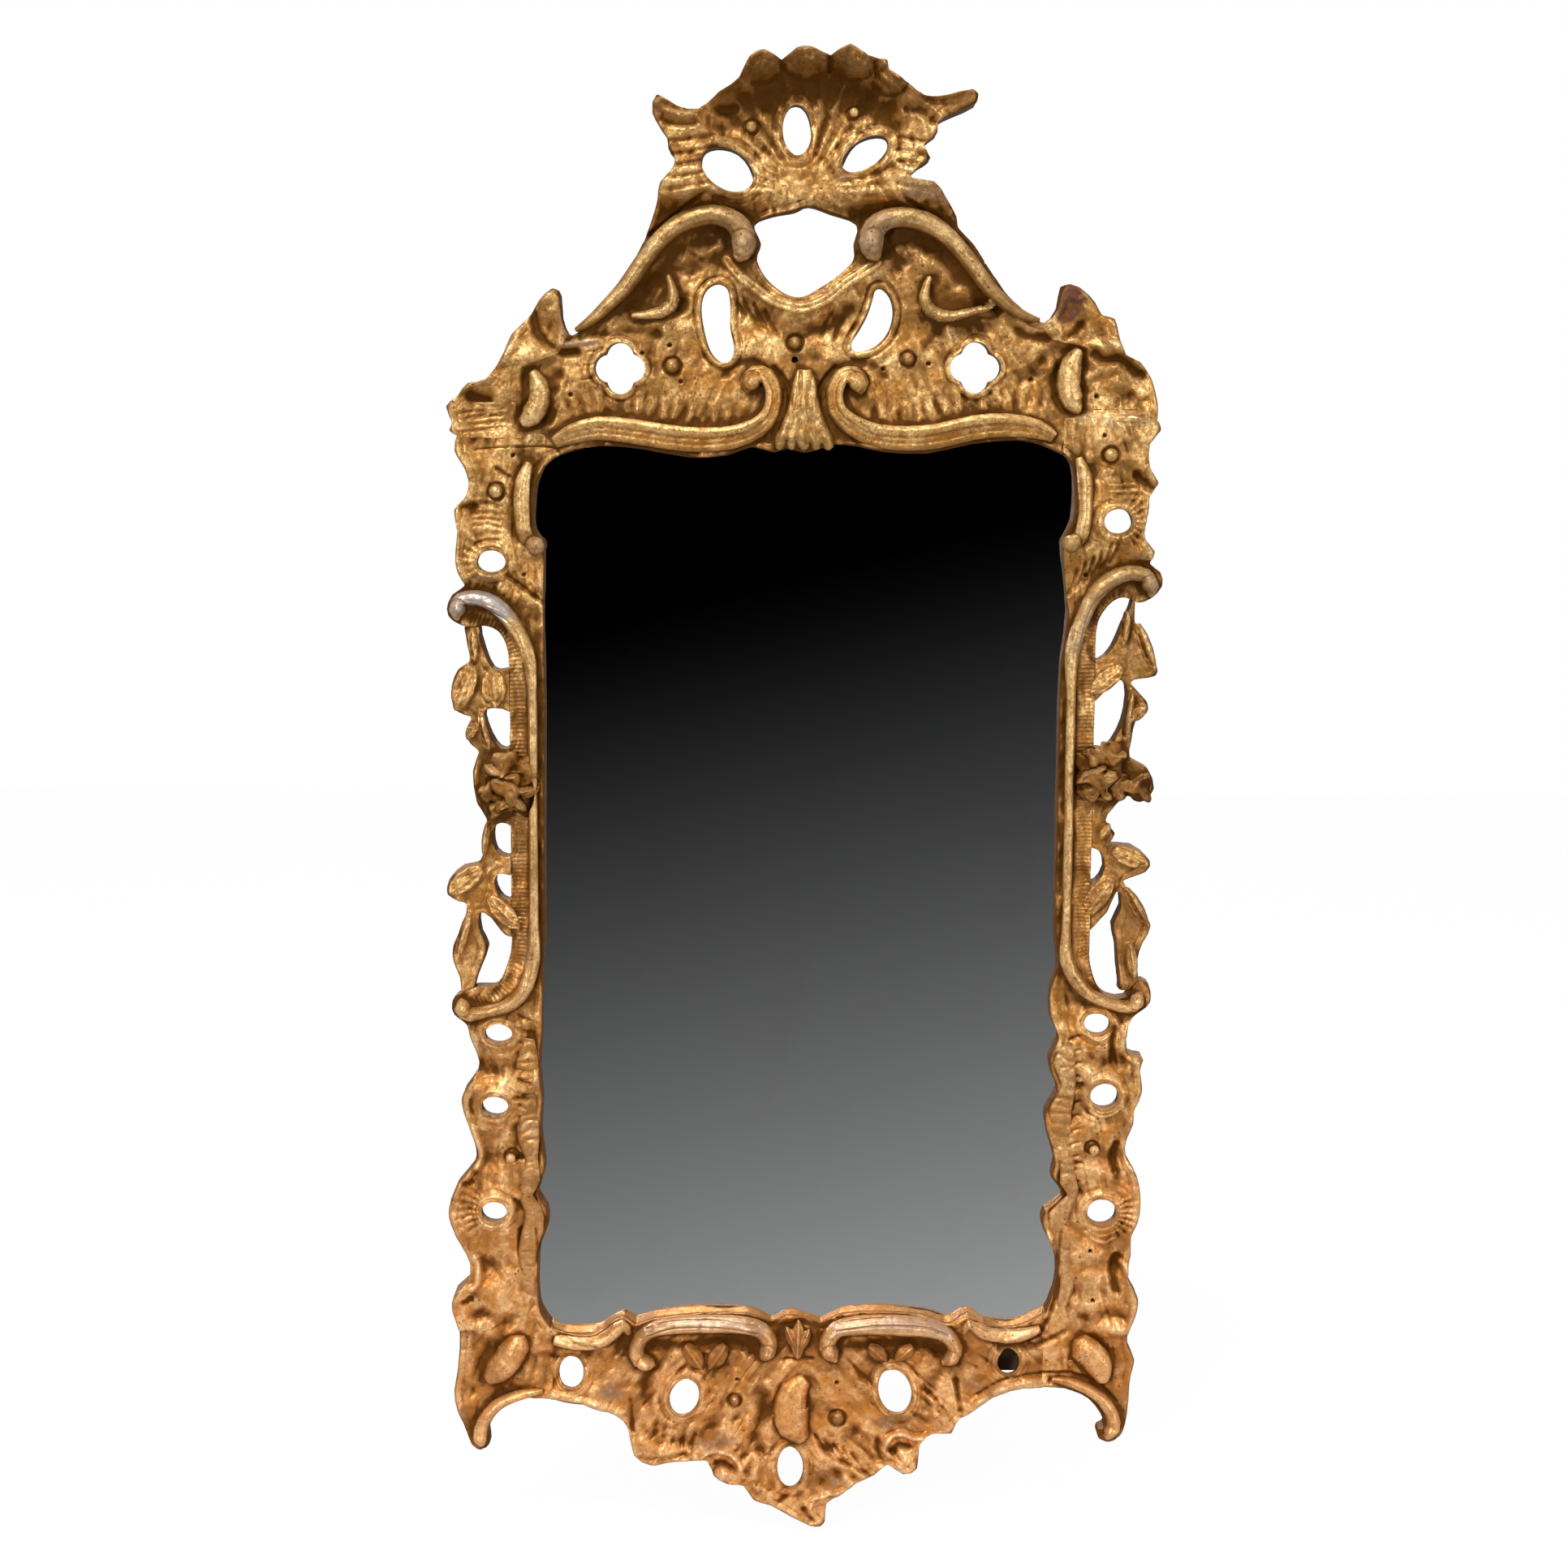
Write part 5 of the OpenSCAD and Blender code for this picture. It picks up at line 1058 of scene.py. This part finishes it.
# Stiles with their leaves, the cove beside the C-scroll, the pitch of its ribs, bands of painted shade and
# dirt, and swells
SIDES = (
    (left, left_leaves, [(-245, 198), (-232, 194), (-220, 185), (-213, 172), (-211, 150), (-210, 100),
                         (-210, 0), (-211, -50), (-217, -70), (-228, -84), (-244, -92)],
     3.0, (-140, -209, -292, -335), (-113, -168, -250)),
    (right, right_leaves, [(246, 214), (232, 214), (220, 204), (212, 190), (210, 165), (210, 110), (210, 10),
                           (210, -30), (213, -48), (222, -64), (236, -77), (250, -80)],
     2.9, (-130, -205, -290, -330), (-103, -158, -248)),
)


def carve_sides():
    """Stiles: ribbed cove of the C-scroll, rippled channel, bitten tabs and the foot."""
    for k, (c, foliage, cove, pitch, bands, swells) in enumerate(SIDES):
        side, pair = 2 * k - 1, (c, foliage)
        on(pair, "stroke", cove, 15, -1.6)
        on(pair, "tint_path", "dirt", cove, 15, 0.12)
        on(pair, "ribs", cove, 15, pitch, 0.9, wander=1.5)
        c.gouge(90 + 10 * side, 36, 4, 0.7, 33 + k)
        c.streak(90 + 6 * side, 26, 6, 0.55, 61 + k).streak(90 + 12 * side, 12, 3, 0.5, 67 + k)
        for z in bands:
            c.sink([(side * 254, z + 2), (side * 230, z - 2), (side * 208, z)], 24, 5, 0.45)
        for z in swells:
            c.dome(side * 229, z, 27, 22, 3.5)
    left.fan(-228, 240, 10, 28, 180, 120, 7, 1.4).fan(-230, -250, 10, 33, 185, 110, 8, 1.3)
    left.ribs([(-230, 252), (-231, 266), (-231, 286)], 30, 5.2, 1.0, wander=3)
    on((left, apron), "sink", [(-200, -364), (-186, -367), (-160, -366), (-145, -362)], 12, 2.5, 0.35)
    stripes([left], (-226, 245), (-196, 222), 6, (20, -25), 5.5, -2.2)
    stripes([left], (-214, -98), (-214, -205), 12, (15, -7), 4.5, -1.8)
    left.swell([(-226, -352), (-238, -345), (-242, -330)], 24, 4.0)
    left.sink([(-240, -392), (-243, -372), (-234, -354)], 15, 3, 0.45)
    left.tint("bare", -238, 225, 14, 6, 0.8).tint("bare", -253, -417, 7, 14, 0.8)
    left.tint("bare", -241, -114, 7, 10, 0.5)
    right.fan(229.5, 272, 10, 28, 0, 120, 8, 2.2).fan(229, -248, 11, 30, -10, 90, 7, 2.0)
    right.ribs([(233, 284), (233, 300)], 30, 4.8, 1.4).dome(224, 308, 4, 3, 2)
    stripes([right], (192, 214), (222, 238), 6, (10, 26), 5.5, -2.2)
    stripes([right], (214, -112), (214, -225), 12, (-14, -7), 4.5, -1.6)
    right.swell([(228, -340), (240, -336), (246, -350)], 20, 4.0)
    right.tint("bare", 236, 243, 20, 7, 0.8).tint("bare", 245, -182, 6, 9, 0.7)
    right.tint("bare", 245, -272, 7, 9, 0.8)
    on((right, apron), "tint", "bare", 142, -386, 17, 7, 0.7)


def carve_apron():
    """Apron: knobs, flutes, gouges and rubbed places over the ruffled lower edge."""
    apron.dome(-56, -460, 8.5, 7, 5).dome(84, -451, 9, 8, 5)
    apron.fan(-4, -392, 62, 115, -90, 130, 17, 1.3)
    stripes([apron], (12, -425), (40, -440), 5, (26, -28), 5, -2.0)
    stripes([apron], (96, -384), (110, -400), 4, (8, -14), 5, -1.8)
    stripes([apron], (-104, -410), (-76, -424), 5, (-6, -22), 6, -1.8)
    east = ramp(apron.x, -10, 10)
    apron.gouge(-48, 26, 4.5, 1.5, 35, east).gouge(58, 26, 4.5, 1.4, 36, 1 - east)
    apron.streak(-48, 26, 7, 0.7, 63, east).streak(58, 26, 7, 0.7, 64, 1 - east)
    apron.streak(-40, 12, 3, 0.7, 69, east).streak(50, 12, 3, 0.7, 70, 1 - east)
    for rows in ([(-118, -425), (-98, -436), (-70, -428), (-62, -410)],
                 [(-112, -372), (-118, -392), (-112, -412)],
                 [(-24, -448), (-32, -430), (-26, -408), (-30, -385)], [(20, -450), (30, -432), (52, -426)],
                 [(112, -372), (100, -392), (104, -414)], [(10, -470), (24, -462), (40, -456)]):
        apron.sink(rows, 20, 5, 0.55)
    for x, z, a, b in ((-67, -433, 21, 8), (76, -418, 20, 7), (22, -463, 20, 10), (-142, -394, 12, 8),
                       (-126, -408, 6, 14)):
        on((apron, left), "tint", "bare", x, z, a, b, 0.85)


# Leaves: x and z of both ends of the midrib, and the width
LEAVES = {
    left_leaves: [(-243, 162, -256, 129, 16), (-228, 160, -226, 132, 18), (-241, 119, -248, 108, 8),
                  (-238, 12, -262, -7, 15), (-232, -10, -209, -35, 14), (-247, -22, -257, -58, 8),
                  (-243, 190, -241, 166, 7), (-238, 130, -231, 100, 7)],
    right_leaves: [(235, 165, 212, 145, 14), (246, 197, 260, 162, 9), (243, 126, 254, 136, 9),
                   (232, 28, 259, 18, 14), (231, 7, 210, -22, 16), (242, 0, 260, -30, 9),
                   (238, 206, 236, 180, 7), (243, 148, 239, 110, 6)],
}


def carve_leaves():
    """A midrib and slanting lobes on each leaf, and long grooves down the stems."""
    for c, rows in LEAVES.items():
        for x0, z0, x1, z1, width in rows:
            path = [(x0, z0), ((x0 + x1) / 2 + (z1 - z0) * 0.06, (z0 + z1) / 2), (x1, z1)]
            c.stroke(path, width * 0.9, -2.2, ends=6)
            c.ribs(path, width * 1.1, 7.5, 0.8, slant=1.0, chevron=True, wander=2)
            c.stroke(path, 3, -1.3, ends=4)
            for side in (-1, 1):
                c.stroke(beside(path, side * width * 0.42), 5, 0.8, ends=6)
        c.gouge(85, 30, 5, 1.0, 37)
    left_leaves.sink([(-239, 60), (-235, 50), (-231, 42)], 6, 3, 0.8)
    right_leaves.sink([(238, 60), (232, 52), (230, 44)], 6, 3, 0.8)


def carve_roses():
    """Ragged petals: crescents cut round each ball, deeper where two petals meet."""
    for node, c, x, z in (("left_rose", left_leaves, -213, 69), ("right_rose", right_leaves, 219, 80)):
        flower = applied[node]
        for k in range(5):
            turn = math.radians(90 + 72 * k)
            px, pz = x + 10 * math.cos(turn), z + 10 * math.sin(turn)
            cut = [(px + 5.5 * math.cos(turn + a), pz + 5.5 * math.sin(turn + a)) for a in (-2, -1, 0, 1, 2)]
            flower.stroke(cut, 3.0, -2.6).stroke(beside(cut, 3), 2.4, 1.4)
            flower.fan(px, pz, 0.5, 8, math.degrees(turn), 200, 5, 2.4)
        flower.rough(9, 4.0, 40).rough(6, 2.6, 41).rough(3, 1.0, 42)
        flower.add_dirt_and_shade(0.85 + 0.6 * flower.noise(8, 43))
        flower.bare = 0.50 + 0.4 * flower.noise(11, 44)
        ragged_x, ragged_z = 4.5 * flower.noise(10, 45), 4.5 * flower.noise(10, 46)
        flower.x += ragged_x
        flower.z += ragged_z
        flower.sink([(x - 3, z + 4), (x + 1, z + 1), (x + 4, z - 4)], 5, 3, 1.0)
        c.stroke([(x - 16, z + 22), (x, z + 27), (x + 14, z + 20)], 9, 3)


# Gadrooned mouldings: the line of their lobes and how much the lobes lean
LOBES = {
    "left_lower_moulding": ([(-204, -118), (-205, -140), (-204, -200), (-203, -226)], 0.15),
    "right_lower_moulding": ([(201, -118), (200, -140), (198, -190), (203, -226)], -0.15),
}
# Edge of each C-scroll on the side of its cove
COVE_SIDE = {
    "left_c_scroll": [(-250, 208), (-226, 202), (-211, 190), (-204, 165), (-203, 130), (-203, -10),
                      (-205, -50), (-214, -82), (-232, -93), (-248, -94)],
    "right_c_scroll": [(249, 228), (228, 223), (212, 210), (204, 182), (203, 150), (203, -32), (207, -60),
                       (220, -76), (246, -83)],
}
# Eyes of the scrolls: x, z and radius
EYES = {
    "left_crest_scroll": [(-45, 469, 9)], "right_crest_scroll": [(48, 470, 9)],
    "left_top_moulding": [(-38, 371, 6.5)], "right_top_moulding": [(38, 371, 6.5)],
    "left_upper_moulding": [(-196, 251, 7)], "right_upper_moulding": [(196, 255, 7)],
    "left_c_scroll": [(-253, 205, 6), (-252, -94, 5.5)], "right_c_scroll": [(254, 226, 6), (252, -86, 5.5)],
    "left_apron_scroll": [(-116, -370, 6), (-23, -360, 6.5)],
    "right_apron_scroll": [(25, -360, 6.5), (117, -364, 6)],
}


def carve_applied():
    """Details of the applied pieces: gadroon lobes, lips of the rolls, eyes of the scrolls, worn tops."""
    for node, (rows, slant) in LOBES.items():
        # Flat mouldings with many small lobes
        c = applied[node]
        c.grow(-0.72).ribs(rows, 24, 7.5, 1.6, slant=slant, wander=4).streak(0, 14, 4, 0.6, 65).add_dirt_and_shade(0.35)
    for node, rows in COVE_SIDE.items():
        sight = -1 if node.startswith("right") else 1
        c = applied[node]
        c.stroke(rows, 3, -1.2).stroke(beside(rows, 3), 2.2, 0.6).gouge(88, 40, 3, 0.5, 43)
        # Dirt and painted shade beside the roll, on its sight side
        c.tint_path("dirt", beside(rows, 5 * sight), 13, 0.45)
    for node, eyes in EYES.items():
        for x, z, r in eyes:
            applied[node].dome(x, z, r, r, 1.2).rim(x, z, r - 0.5, r - 0.5, 2.6, -1.6)
    for side, name in ((-1, "left"), (1, "right")):
        top = [(side * 115, -343), (side * 95, -337), (side * 60, -336), (side * 30, -340)]
        c = applied[name + "_apron_scroll"].tint_path("grey", top, 17, 0.6).gouge(0, 30, 3.5, 0.9, 44)
        for by in (-3.2, 1.2):
            c.stroke(beside(top, by), 2.6, -1.7).tint_path("dirt", beside(top, by), 3.4, 0.75)
    for c in applied.values():
        c.streak(80, 30, 6, 0.35, 66)
    applied["left_c_scroll"].tint("grey", -234, 207, 32, 16, 1.0)
    for node in COVE_SIDE:
        # The long part of the roll is a narrow lip beside the cove
        c = applied[node]
        lip = span(c.z, -62, -25, 140, 185)
        c.x += (math.copysign(200.5, c.x[0]) - c.x) * 0.38 * lip
        c.grow(-0.3)
    for c in applied.values():
        # Fuller bodies for the cabochons and the crest curls
        if c.node.endswith(("cabochon", "crest_curl")):
            c.grow(0.35)
            for rows in CREST_CURLS + [rows for paths in CABOCHONS.values() for rows in paths]:
                at, _, _, nearest, _ = c.near(curve(rows), 25)
                c.x[at] += 0.42 * (c.x[at] - nearest[:, 0])
                c.z[at] += 0.42 * (c.z[at] - nearest[:, 1])
    for side, name in ((-1, "left"), (1, "right")):
        corner = [(side * 191, -262), (side * 189, -285), (side * 188, -305), (side * 185, -325),
                  (side * 178, -339), (side * 166, -346), (side * 150, -349)]
        for c in (left, right, apron, applied[name + "_lower_moulding"], applied[name + "_bottom_moulding"]):
            c.stroke(corner, 13, 3.8, ends=9).sink(beside(corner, 8.5 * side), 6, 2.6, 0.8)
    palmette = applied["palmette"]
    flare = fade(palmette.z, 332, 374)
    palmette.x += (0.15 + 0.55 * flare) * palmette.x
    palmette.z -= 4 * flare * (0.8 + 0.2 * np.cos(palmette.x * 0.7))
    palmette.streak(90, 14, 3, 0.8, 71).rough(5, 0.8, 72)
    palmette.dirt += 0.12 + 0.5 * fade(palmette.z, 330, 352)
    for c in (applied["left_upper_moulding"], applied["right_upper_moulding"]):
        c.tint("bole", math.copysign(197, c.x[0]), 252, 9, 9, 0.5)
        c.grow(-0.45, fade(c.z, 257, 264))
    head = [(205, 180), (212, 204), (226, 221), (246, 229), (258, 222)]
    applied["right_c_scroll"].tint_path("bare", head, 30, 0.5).tint_path("grey", head, 26, 0.4)
    applied["left_crest_scroll"].tint("grey", -49, 478, 19, 16, 0.15).tint("bare", -49, 474, 24, 22, 0.5)
    applied["right_crest_scroll"].tint("grey", 50, 476, 17, 16, 0.4).tint("bare", 52, 474, 24, 22, 0.6)
    # Painted shadow on the leaves that sit under the apron scrolls
    applied["apron_leaves"].dirt += 0.8


carve_edges(boards + leaves)
carve_openings()
carve_crest()
carve_shell()
carve_paths()
carve_sides()
carve_apron()
carve_leaves()
carve_roses()
carve_applied()

for c in Carved.made:
    c.commit()
# The lower sight edge leans back, as the camera looks down on it
LEAN = 0.34
lean = fade(apron.z, -334, -320) * fade(np.abs(apron.x), 196, 205) * ramp(apron.d, LIP - 3, LIP - 1)
apron.z -= LEAN * lean * np.clip(GROUND - 1 - apron.d, 0, None)
shade_map()
for c in Carved.made:
    finish_piece(c)

# Plate, back and hanger keep their CAD shapes

PINE_PALE, PINE_DEEP = (0.37, 0.225, 0.11), (0.19, 0.10, 0.045)
pine = []
for share, scale in ((1.0, 26), (0.82, 21), (1.12, 30)):
    tones = [scaled(tone, share) for tone in (PINE_PALE, PINE_DEEP)]
    pine.append(timber(f"old_pine_board_{len(pine) + 1}", *tones, scale, (1.0, 1.0, 0.07)))
oak = timber("old_blocks_and_pegs", (0.20, 0.12, 0.06), (0.10, 0.055, 0.028), 45, (0.2, 1.0, 1.0))
forged = iron("forged_iron", (0.16, 0.15, 0.14), 0.48)
pins = iron("iron_nails_and_screws", (0.20, 0.19, 0.17), 0.40)
glass = old_mirror()
KEPT = {
    "mirror_plate": glass, "left_backboard": pine[0], "centre_backboard": pine[1],
    "right_backboard": pine[2], "glazing_blocks": oak, "corner_pegs": oak, "left_crest_cleat": oak,
    "right_crest_cleat": oak, "repair_block": oak, "hanger_plate": forged, "hanger_ring": forged,
    "hanger_pin": pins, "hanger_screws": pins, "backboard_nails": pins,
}
for name, material in KEPT.items():
    nodes[name].data.materials.clear()
    nodes[name].data.materials.append(material)

# Stage, light and camera


def plane(name, corners, material):
    mesh = bpy.data.meshes.new(name)
    mesh.from_pydata(corners, [], [tuple(range(len(corners)))])
    mesh.materials.append(material)
    thing = bpy.data.objects.new(name, mesh)
    bpy.context.scene.collection.objects.link(thing)
    return thing


def pale_floor():
    """Floor that keeps the shadow and is otherwise white to the camera."""
    t = material_tree("pale_floor")
    t.shader.inputs["Base Color"].default_value = (0.82, 0.82, 0.82, 1)
    t.shader.inputs["Roughness"].default_value = 0.9
    white = t.new("ShaderNodeEmission")
    white.inputs["Strength"].default_value = 1.08
    seen = t.new("ShaderNodeLightPath")
    share = t.times(seen.outputs["Is Camera Ray"], 0.88)
    surface = t.nodes["Material Output"].inputs["Surface"]
    t.put(surface, t.blend(share, t.shader.outputs[0], white.outputs[0]))
    return t.owner


FLOOR_FRONT, FLOOR_BACK, FLOOR_HALF = -0.42, 4, 3
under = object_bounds()[0].z - 0.002
plane("floor", [(-FLOOR_HALF, FLOOR_FRONT, under), (FLOOR_HALF, FLOOR_FRONT, under),
                (FLOOR_HALF, FLOOR_BACK, under), (-FLOOR_HALF, FLOOR_BACK, under)], pale_floor())

CAMERA_FAR, CAMERA_HIGH = 2.0, 0.355
CARD_Y, CARD_FAR = -2.1, 2.089  # the card's place and its distance from the plate
# Painted reflection in the plate, standing for a dark room before it: a plain fade from black to grey
REFLECTION_BLACK, REFLECTION_PALE = 245, -380  # heights on the plate between which it fades
REFLECTION_GREY, REFLECTION_POWER = 0.58, 0.87  # the grey at its lower end, and the power by which it gets there
REFLECTION_SLANT = 0.26  # the grey rises a little to the right
GAMMA, PLATE_SHINE = 2.2, 0.86  # of the display, and the share of light that the plate gives back


def painted_reflection_card():
    """Glowing card before the mirror that paints the plate's reflection: grey at each point as the camera
    should see it in the plate.
    """
    far = CARD_FAR / CAMERA_FAR
    t = material_tree("painted_reflection_card")
    split = t.new("ShaderNodeSeparateXYZ")
    t.put(split.inputs[0], t.place)
    z = t.math("DIVIDE", t.plus(split.outputs["Z"], CAMERA_HIGH * far), 1 + far)
    x = t.math("DIVIDE", split.outputs["X"], 1 + far)
    level = t.minus(z, t.times(x, REFLECTION_SLANT))
    share = t.math("DIVIDE", t.minus(REFLECTION_BLACK * MM, level), (REFLECTION_BLACK - REFLECTION_PALE) * MM, clamp=True)
    grey = t.times(t.math("POWER", share, REFLECTION_POWER * GAMMA), REFLECTION_GREY**GAMMA / PLATE_SHINE)
    glow = t.new("ShaderNodeEmission")
    t.put(glow.inputs["Color"], grey)
    t.put(t.nodes["Material Output"].inputs["Surface"], glow.outputs[0])
    corners = [(-0.6, CARD_Y, -1.3), (0.6, CARD_Y, -1.3), (0.6, CARD_Y, 0.5), (-0.6, CARD_Y, 0.5)]
    card = plane("painted_reflection_card", corners, t.owner)
    card.visible_camera = card.visible_diffuse = card.visible_shadow = card.visible_transmission = False


def studio():
    """Soft white light all round; the camera sees plain white, and gold and glass see part of it."""
    world = bpy.data.worlds.new("studio")
    bpy.context.scene.world = world
    t = Tree(world)
    soft, clear = t.nodes["Background"], t.new("ShaderNodeBackground")
    for light, strength in ((soft, 0.34), (clear, 1.0)):
        light.inputs["Color"].default_value = (1, 1, 1, 1)
        light.inputs["Strength"].default_value = strength
    ray = t.new("ShaderNodeLightPath").outputs
    direct = t.most(ray["Is Camera Ray"], ray["Is Transmission Ray"])
    seen = t.most(direct, t.times(ray["Is Glossy Ray"], 0.35))
    t.put(t.nodes["World Output"].inputs["Surface"], t.blend(seen, soft.outputs[0], clear.outputs[0]))


def lamp(name, place, aim, size, power):
    data = bpy.data.lights.new(name, "AREA")
    data.shape = "RECTANGLE"
    data.size, data.size_y = size
    data.energy = power
    thing = bpy.data.objects.new(name, data)
    thing.location = place
    thing.rotation_euler = (Vector(aim) - Vector(place)).to_track_quat("-Z", "Y").to_euler()
    bpy.context.scene.collection.objects.link(thing)


painted_reflection_card()
studio()
lamp("key", (-0.5, -1.15, 2.0), (0, 0, 0.05), (1.0, 0.7), 40)
lamp("side", (1.7, -1.1, 0.2), (0.1, 0, -0.15), (1.0, 1.5), 12)
lamp("low", (-0.8, -1.55, 0.3), (0, 0, -0.45), (0.3, 0.3), 8.5)

PHOTO_WIDE, FOCAL_LENGTH, SENSOR_WIDE = 1932, 3333.3, 36  # the first two in pixels
camera = bpy.data.objects.new("camera", bpy.data.cameras.new("camera"))
bpy.context.scene.collection.objects.link(camera)
tilt, roll = math.radians(8.0), math.radians(0.35)
target = Vector((-0.013, -0.030, 0.077))
camera.location = target + CAMERA_FAR * Vector((0, -math.cos(tilt), math.sin(tilt)))
look = Matrix.Rotation(math.pi / 2 - tilt, 4, "X") @ Matrix.Rotation(roll, 4, "Z")
camera.rotation_euler = look.to_euler()
camera.data.lens = SENSOR_WIDE * FOCAL_LENGTH / PHOTO_WIDE
camera.data.clip_end = 50
bpy.context.scene.camera = camera
bpy.context.scene.view_settings.view_transform = "Standard"
